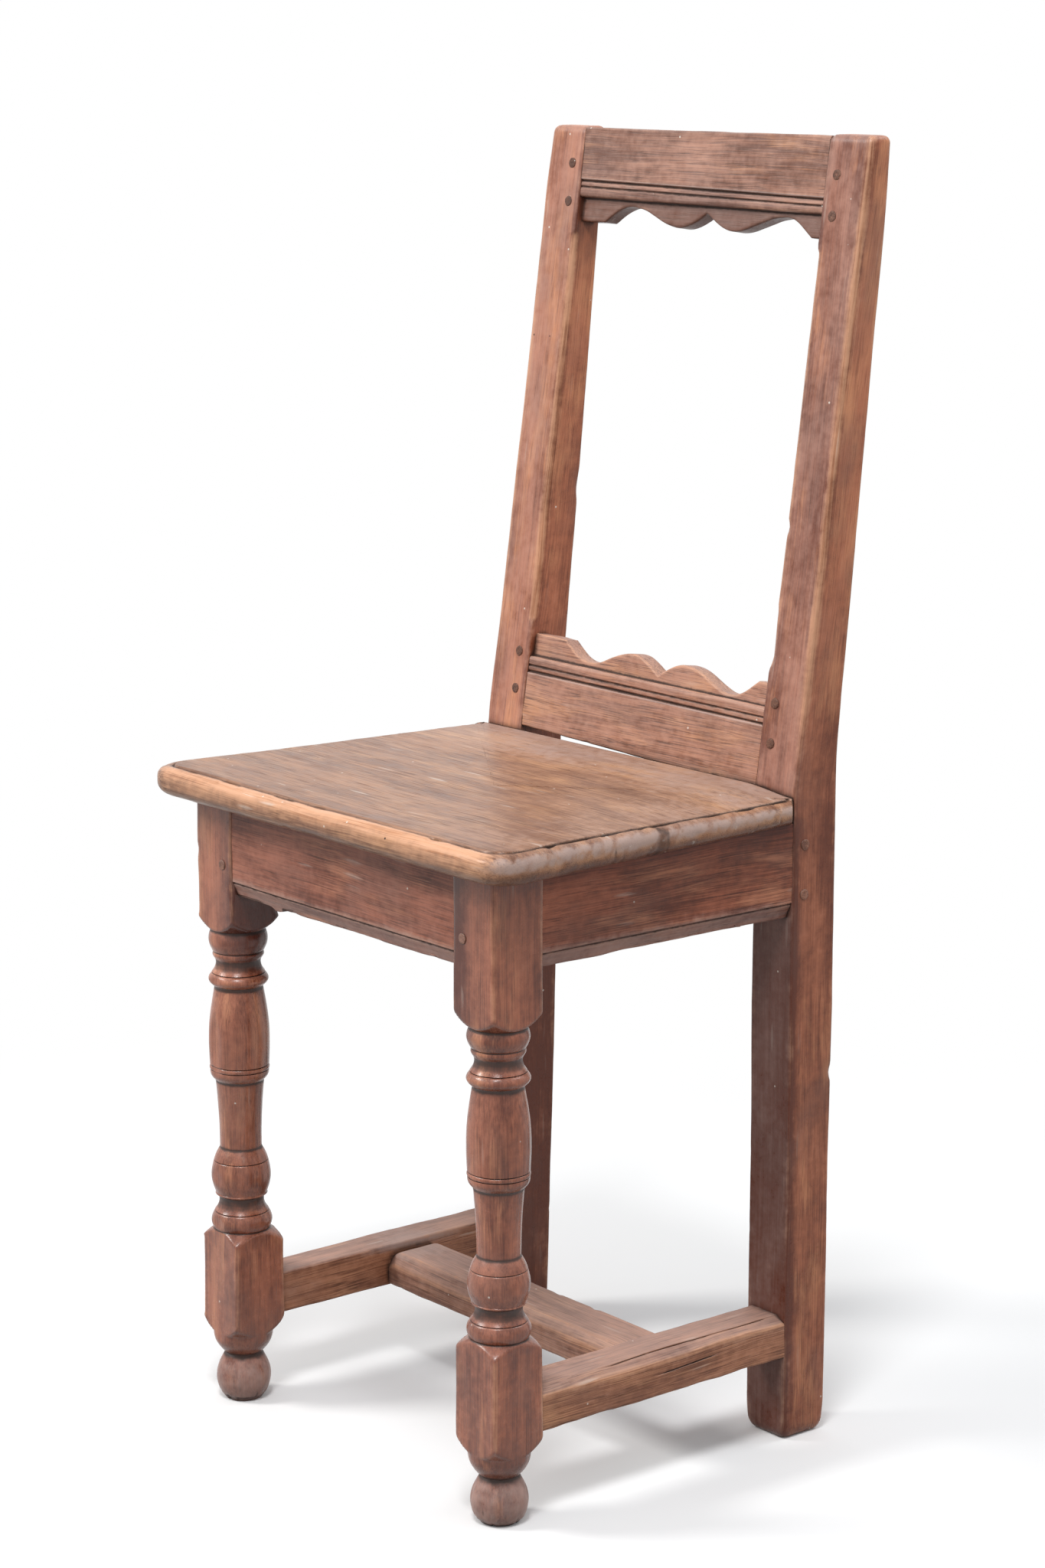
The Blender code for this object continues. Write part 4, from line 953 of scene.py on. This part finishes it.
def shade_corners(reach=0.022, close=0.005, rays=12):
    """Stores how closed-in each point is, from far and from near, and how far it faces up or forward: the far
    value darkens corners with soiling and painted shade, the near one gives dark joints, and the facing gives
    dusting and painted sheen.
    """
    corners, faces = [], []
    for piece in PIECES:
        if "_peg" in piece.name:
            continue
        start = len(corners)
        corners += [v.co.copy() for v in piece.data.vertices]
        faces += [[start + k for k in polygon.vertices] for polygon in piece.data.polygons]
    tree = BVHTree.FromPolygons(corners, faces)
    golden = math.pi * (3.0 - math.sqrt(5.0))
    fan = []
    for k in range(rays):
        rise = math.sqrt(1.0 - (k + 0.5) / rays)
        flat = math.sqrt(1.0 - rise * rise)
        fan.append(Vector((flat * math.cos(golden * k), flat * math.sin(golden * k), rise)))
    for piece in PIECES:
        dirt_and_shade, seam, facing_dust_and_sheen = [], [], []
        for vertex in piece.data.vertices:
            normal = vertex.normal
            turn = normal.to_track_quat("Z", "Y")
            place = vertex.co + normal * 0.0004
            far = near = 0.0
            for way in fan:
                gap = tree.ray_cast(place, turn @ way, reach)[3]
                if gap is not None:
                    far += 1.0 - gap / reach
                    near += max(0.0, 1.0 - gap / close)
            # Closed-in from far: soiling and painted shade in corners and under overhangs
            dirt_and_shade.append(far / rays)
            seam.append(near / rays)
            # Facing up or forward: dusting and painted sheen
            facing_dust_and_sheen.append(min(1.0, max(0.0, normal.z) + 0.5 * max(0.0, -normal.y)))
        store(piece.data, "dirt_and_shade", dirt_and_shade)
        store(piece.data, "seam", seam)
        store(piece.data, "facing_dust_and_sheen", facing_dust_and_sheen)


# Materials

class Nodes:
    """Short hand for wiring a material or a world."""

    def __init__(self, owner):
        self.owner = owner
        owner.use_nodes = True
        self.tree = owner.node_tree
        self.shader = self.tree.nodes.get("Principled BSDF") or self.tree.nodes["Background"]

    def looked_at(self):
        """1 for rays from the camera and for what shows in reflections and through glass."""
        path = self.add("LightPath")
        seen = path.outputs["Is Camera Ray"]
        for ray in ("Is Glossy Ray", "Is Transmission Ray"):
            seen = self.math("MAXIMUM", seen, path.outputs[ray])
        return seen

    def add(self, kind, *values, **settings):
        """A node with its settings, and with values or links on its first sockets."""
        node = self.tree.nodes.new("ShaderNode" + kind)
        for key, value in settings.items():
            setattr(node, key, value)
        for socket, value in zip(node.inputs, values):
            self.put(socket, value)
        return node

    def put(self, socket, value):
        if isinstance(value, bpy.types.NodeSocket):
            self.tree.links.new(value, socket)
        else:
            socket.default_value = value

    def attribute(self, name, output="Fac"):
        return self.add("Attribute", attribute_name=name).outputs[output]

    def math(self, operation, *values, clamp=False):
        return self.add("Math", *values, operation=operation, use_clamp=clamp).outputs[0]

    def scaled(self, vector, factors):
        return self.add("VectorMath", vector, factors, operation="MULTIPLY").outputs[0]

    def length(self, vector):
        return self.add("VectorMath", vector, operation="LENGTH").outputs["Value"]

    def fill(self, kind, **values):
        """A texture node with values or links on its named sockets."""
        node = self.add(kind)
        for key, value in values.items():
            self.put(node.inputs[key], value)
        return node

    def noise(self, vector, scale=1.0, detail=3.0, roughness=0.55):
        node = self.fill("TexNoise", Vector=vector, Scale=scale, Detail=detail, Roughness=roughness)
        return node.outputs["Fac"]

    def cells(self, vector, scale):
        """Distance from the middle of each cell, and the cell's own random number."""
        node = self.fill("TexVoronoi", Vector=vector, Scale=scale)
        split = self.add("SeparateColor", node.outputs["Color"])
        return node.outputs["Distance"], split.outputs[0]

    def weigh(self, start, *pairs):
        """start plus each value's departure from one half times its weight."""
        half = 0.5 * sum(weight for value, weight in pairs)
        plain = not isinstance(start, bpy.types.NodeSocket)
        total = start - half if plain else self.math("SUBTRACT", start, half)
        for value, weight in pairs:
            total = self.math("MULTIPLY_ADD", value, weight, total)
        return total

    def swayed(self, vector, scale, reach):
        """The vector, led astray by slow noise."""
        slow = self.fill("TexNoise", Vector=self.scaled(vector, scale), Scale=1.0).outputs["Color"]
        return self.add("VectorMath", slow, reach, vector, operation="MULTIPLY_ADD").outputs[0]

    def span(self, value, low, high, start=0.0, end=1.0):
        return self.add("MapRange", value, low, high, start, end,
                        interpolation_type="SMOOTHSTEP").outputs[0]

    def mix(self, factor, first, second, blend="MIX"):
        node = self.add("Mix", data_type="RGBA", blend_type=blend)
        for place, value in ((0, factor), (6, first), (7, second)):
            self.put(node.inputs[place], value)
        return node.outputs[2]


def colour(red, green, blue):
    return (red, green, blue, 1.0)


SHEEN_AND_DUST = colour(0.46, 0.345, 0.310)
GREY_BROWN = colour(0.165, 0.085, 0.068)
SHADE_AND_SOAK_TINT = colour(0.45, 0.29, 0.25)
GRIME_AND_SHADE = colour(0.022, 0.011, 0.008)
HONEY = colour(0.73, 0.390, 0.230)
AMBER = colour(0.58, 0.265, 0.130)
SPECK = colour(0.80, 0.72, 0.64)


def oak(name, dark, light, glow, facing_dust_and_sheen=0.35, wear=0.75, dirt_and_shade=0.9, shine=0.36, grey=0.35, scratched=0.15,
        gloss=0.28, grained=1.0, relief=0.00025):
    """Old waxed oak: streaks and pores along the grain, worn arrises, dusting and painted sheen on what faces
    up or forward, and soiling and painted shade in corners, grooves and under things.
    """
    n = Nodes(bpy.data.materials.new(name))
    place = n.attribute("grain", "Vector")
    edge, crease, tone_and_painted_light = n.attribute("edge"), n.attribute("crease"), n.attribute("tone")
    closed, seam, facing = n.attribute("dirt_and_shade"), n.attribute("seam"), n.attribute("facing_dust_and_sheen")
    dust_and_sheen, shade_and_soak = n.attribute("dust_and_sheen"), n.attribute("shade_and_soak")
    grain = n.swayed(place, (5.0, 14.0, 14.0), (0.0, 0.010, 0.010))
    broad = n.noise(n.scaled(grain, (4.0, 40.0, 40.0)), 1.0, 2.0)
    streak = n.noise(n.scaled(grain, (7.0, 400.0, 400.0)), 1.0, 4.0, 0.6)
    fibre = n.noise(n.scaled(grain, (14.0, 1150.0, 1150.0)), 1.0, 2.0)
    dash = n.noise(n.scaled(grain, (34.0, 1250.0, 1250.0)), 1.0, 1.0)
    blotch = n.noise(n.scaled(place, (13.0, 36.0, 36.0)), 1.0, 5.0, 0.6)
    mottle = n.noise(place, 150.0, 3.0)
    hue = n.noise(n.scaled(place, (12.0, 22.0, 22.0)), 1.0, 4.0)
    warmth = n.noise(n.scaled(grain, (16.0, 60.0, 60.0)), 1.0, 4.0)
    # The pieces' tone: the wood's own, with painted shade and painted light where the pieces set it
    shade = n.math("ADD", tone_and_painted_light, 0.5)
    tone = n.weigh(shade, (broad, 0.55), (streak, 0.8 * grained), (fibre, 0.95 * grained),
                   (blotch, 1.3), (mottle, 0.50))
    base = n.mix(n.span(tone, 0.05, 0.95), dark, light)
    warm = n.weigh(shade, (warmth, 1.5), (blotch, -0.8), (fibre, 0.7 * grained))
    base = n.mix(n.span(warm, 0.50, 1.00, 0.0, 0.85), base, glow)
    base = n.mix(n.span(hue, 0.46, 0.72, 0.0, grey), base, GREY_BROWN)
    # Painted shade under the seat, inside the legs and posts and on the seat's lower rolls, and end grain
    # darkened where it has taken up wax
    base = n.mix(shade_and_soak, base, SHADE_AND_SOAK_TINT, "MULTIPLY")
    open_grain = n.span(streak, 0.36, 0.62, 0.75 * grained, 0.30 * grained)
    pores = n.math("MULTIPLY", n.span(dash, 0.54, 0.66), open_grain)
    base = n.mix(pores, base, tuple(0.4 * own + 0.6 * dirty for own, dirty in zip(dark, GRIME_AND_SHADE)))
    rub = n.weigh(edge, (streak, 0.7), (fibre, 0.3), (blotch, 0.9), (mottle, 0.5))
    bared = n.mix(n.span(n.weigh(streak, (fibre, 0.9)), 0.26, 0.56), AMBER, HONEY)
    rubbed = n.span(rub, 0.20, 1.05, 0.0, wear)
    base = n.mix(rubbed, base, bared)
    # Dusting and a painted sheen on faces turned up or forward, and where the pieces lay them on
    settle_and_sheen = n.weigh(facing, (mottle, 0.7), (blotch, 1.2), (streak, 0.6))
    dust_sheen_share = n.span(settle_and_sheen, 0.05, 1.1, 0.0, facing_dust_and_sheen)
    lying_dust_and_sheen = n.span(n.weigh(dust_and_sheen, (mottle, 0.6), (blotch, 0.8)), 0.08, 0.95, 0.0, 0.75)
    dust_sheen_share = n.math("MAXIMUM", dust_sheen_share, lying_dust_and_sheen)
    dust_sheen_share = n.math("MULTIPLY", dust_sheen_share, n.span(rubbed, 0.1, 0.8, 1.0, 0.25))
    base = n.mix(dust_sheen_share, base, SHEEN_AND_DUST)
    scratch_gap, scratch_pick = n.cells(n.scaled(grain, (38.0, 260.0, 260.0)), 1.0)
    scratch = n.math("MULTIPLY", n.span(scratch_pick, 0.955, 0.975), n.span(streak, 0.40, 0.60))
    scratch = n.math("MULTIPLY", scratch, n.span(scratch_gap, 0.55, 0.15, 0.0, scratched))
    base = n.mix(scratch, base, SPECK)
    # Darkening: soiling in creases and dark joints, and painted shade where a point is closed in from far
    dirt_and_painted_shade = n.span(n.weigh(closed, (mottle, 0.35)), 0.14, 0.60, 0.0, dirt_and_shade)
    dirt_and_painted_shade = n.math("MAXIMUM", dirt_and_painted_shade, n.span(n.weigh(seam, (mottle, 0.25)), 0.10, 0.42, 0.0, dirt_and_shade))
    dirt_and_painted_shade = n.math("MAXIMUM", dirt_and_painted_shade, n.span(n.weigh(crease, (mottle, 0.8)), 0.25, 0.85, 0.0, dirt_and_shade))
    base = n.mix(dirt_and_painted_shade, base, GRIME_AND_SHADE)
    speck_gap, speck_pick = n.cells(place, 130.0)
    speck = n.math("MULTIPLY", n.span(speck_gap, 0.13, 0.07), n.span(speck_pick, 0.965, 0.97))
    base = n.mix(n.math("MULTIPLY", speck, 0.75), base, SPECK)
    hole_gap, hole_pick = n.cells(n.scaled(place, (1.0, 1.3, 1.0)), 42.0)
    hole = n.math("MULTIPLY", n.span(hole_gap, 0.036, 0.024), n.span(hole_pick, 0.94, 0.945))
    base = n.mix(hole, base, GRIME_AND_SHADE)
    n.put(n.shader.inputs["Base Color"], base)
    rough = n.weigh(shine, (mottle, 0.20), (blotch, 0.18))
    rough = n.math("ADD", rough, n.math("MULTIPLY", dust_sheen_share, 0.30))
    rough = n.math("ADD", rough, n.math("MULTIPLY", n.math("MAXIMUM", pores, dirt_and_painted_shade), 0.25), clamp=True)
    n.put(n.shader.inputs["Roughness"], rough)
    n.shader.inputs["Specular IOR Level"].default_value = gloss
    height = n.weigh(0.0, (streak, 0.4), (fibre, 0.2), (mottle, 0.5))
    height = n.math("SUBTRACT", height, n.math("MULTIPLY", pores, 0.6))
    height = n.math("SUBTRACT", height, n.math("MULTIPLY", hole, 2.5))
    bump = n.add("Bump")
    bump.inputs["Strength"].default_value = 0.8
    bump.inputs["Distance"].default_value = relief
    n.put(bump.inputs["Height"], height)
    n.put(n.shader.inputs["Normal"], bump.outputs["Normal"])
    OAK[name] = n.owner


# Stage

def floor():
    """A pale floor that takes the chair's shadow and runs out into white."""
    mesh = bpy.data.meshes.new("floor")
    corners = [(FLOOR_REACH * x, FLOOR_REACH * y, 0.0) for x, y in ((-1, -1), (1, -1), (1, 1), (-1, 1))]
    mesh.from_pydata(corners, [], [(0, 1, 2, 3)])
    n = Nodes(bpy.data.materials.new("floor"))
    seen = n.looked_at()
    n.put(n.shader.inputs["Base Color"], n.mix(seen, colour(0.22, 0.21, 0.20), colour(0.93, 0.93, 0.93)))
    n.shader.inputs["Roughness"].default_value = 0.9
    n.shader.inputs["Specular IOR Level"].default_value = 0.0
    place = n.add("TexCoord").outputs["Object"]
    glow = n.add("Emission")
    n.put(glow.inputs["Strength"], seen)
    far_off = n.math("MULTIPLY", n.span(n.length(place), 0.35, 1.1), seen)
    blend = n.add("MixShader", far_off, n.shader.outputs[0], glow.outputs[0])
    n.put(n.tree.nodes["Material Output"].inputs["Surface"], blend.outputs[0])
    mesh.materials.append(n.owner)
    made = bpy.data.objects.new("floor", mesh)
    bpy.context.scene.collection.objects.link(made)


def sky():
    """Soft light from all round; white where the camera or a reflection looks past the chair."""
    world = bpy.data.worlds.new("sky")
    bpy.context.scene.world = world
    n = Nodes(world)
    n.shader.inputs["Color"].default_value = colour(0.96, 0.98, 1.0)
    n.shader.inputs["Strength"].default_value = 0.62
    white = n.add("Background", colour(1.0, 1.0, 1.0))
    blend = n.add("MixShader", n.looked_at(), n.shader.outputs[0], white.outputs[0])
    n.put(n.tree.nodes["World Output"].inputs["Surface"], blend.outputs[0])


def lamp(name, place, size, power, tint):
    data = bpy.data.lights.new(name, "AREA")
    data.shape = "DISK"
    data.size = size
    data.energy = power
    data.color = tint
    made = bpy.data.objects.new(name, data)
    made.location = place
    made.rotation_euler = (Vector(LAMP_AIM) - Vector(place)).to_track_quat("-Z", "Y").to_euler()
    bpy.context.scene.collection.objects.link(made)


def camera():
    data = bpy.data.cameras.new("camera")
    data.lens = CAMERA_LENS
    data.sensor_width = CAMERA_SENSOR
    back = Vector((
        math.sin(CAMERA_AZIMUTH) * math.cos(CAMERA_ELEVATION),
        -math.cos(CAMERA_AZIMUTH) * math.cos(CAMERA_ELEVATION),
        math.sin(CAMERA_ELEVATION)))
    level = Vector((math.cos(CAMERA_AZIMUTH), math.sin(CAMERA_AZIMUTH), 0.0))
    turn = Matrix((level, back.cross(level), back)).transposed() @ Matrix.Rotation(CAMERA_ROLL, 3, "Z")
    made = bpy.data.objects.new("camera", data)
    made.matrix_world = Matrix.Translation(CAMERA_PLACE) @ turn.to_4x4()
    bpy.context.scene.collection.objects.link(made)
    bpy.context.scene.camera = made


oak("leg_oak", colour(0.125, 0.028, 0.013), colour(0.500, 0.165, 0.086),
    colour(0.66, 0.275, 0.145), facing_dust_and_sheen=0.12, shine=0.24, gloss=0.48, grained=0.55, relief=0.00011)
oak("post_oak", colour(0.155, 0.040, 0.019), colour(0.520, 0.185, 0.097),
    colour(0.69, 0.295, 0.150), facing_dust_and_sheen=0.34, wear=0.75, shine=0.30, grey=0.42, grained=0.5, relief=0.00016)
oak("rail_oak", colour(0.120, 0.027, 0.012), colour(0.475, 0.150, 0.080),
    colour(0.62, 0.255, 0.142), facing_dust_and_sheen=0.25, wear=0.55, shine=0.33, scratched=0.3, grained=0.8)
oak("stretcher_oak", colour(0.170, 0.062, 0.033), colour(0.510, 0.224, 0.125),
    colour(0.66, 0.330, 0.180), facing_dust_and_sheen=0.46, shine=0.42, scratched=0.3)
oak("seat_oak", colour(0.165, 0.070, 0.037), colour(0.440, 0.226, 0.128),
    colour(0.56, 0.295, 0.155), facing_dust_and_sheen=0.07, wear=0.95, shine=0.32, scratched=0.42, grained=0.85)
oak("back_oak", colour(0.145, 0.050, 0.026), colour(0.510, 0.222, 0.128),
    colour(0.62, 0.300, 0.160), facing_dust_and_sheen=0.36)
oak("peg_oak", colour(0.140, 0.055, 0.034), colour(0.400, 0.180, 0.115),
    colour(0.50, 0.235, 0.145), facing_dust_and_sheen=0.35, dirt_and_shade=0.55, wear=0.2)

for side_name, side_way in SIDES:
    front_leg(f"{side_name}_front_leg", side_way, LEGS[side_name])
    rear_post(f"{side_name}_rear_post", side_way, POST_LEANS[side_name], 162 + 11 * side_way)
seat_rails()
stretchers()
back_rail("crest_rail", SLOPE_LENGTH - CREST_DROP - BACK_RAIL_HEIGHT, 1, CREST_SCALLOP_SHIFT, CREST_SKEW,
          0.3, -0.36, -0.12, 307)
back_rail("lower_back_rail", SEAT_GAP + BACK_RAIL_HEIGHT, -1, LOWER_SCALLOP_SHIFT, LOWER_SKEW, 0.7, 0.05,
          0.04, 331)
seat_board("seat_board", 353)
for number, node_name in enumerate(sorted(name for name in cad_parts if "_peg" in name)):
    peg(node_name, 401 + number)
for node_name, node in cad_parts.items():
    if "dowel" in node_name:
        places = np.array([vertex.co[:] for vertex in node.data.vertices])
        upright = node.data.attributes.new("grain", "FLOAT_VECTOR", "POINT")
        upright.data.foreach_set("vector", places[:, [Z, X, Y]].ravel())
        node.data.materials.clear()
        node.data.materials.append(OAK["peg_oak"])
shade_corners()

floor()
sky()
lamp("key", (-1.9, -2.4, 2.9), 1.1, 76.0, (1.0, 0.99, 0.97))
lamp("top", (1.1, -1.3, 3.1), 0.75, 46.0, (0.98, 0.99, 1.0))
lamp("back", (0.9, 2.0, 2.7), 1.3, 18.0, (0.97, 0.98, 1.0))
camera()
bpy.context.scene.view_settings.view_transform = "Standard"
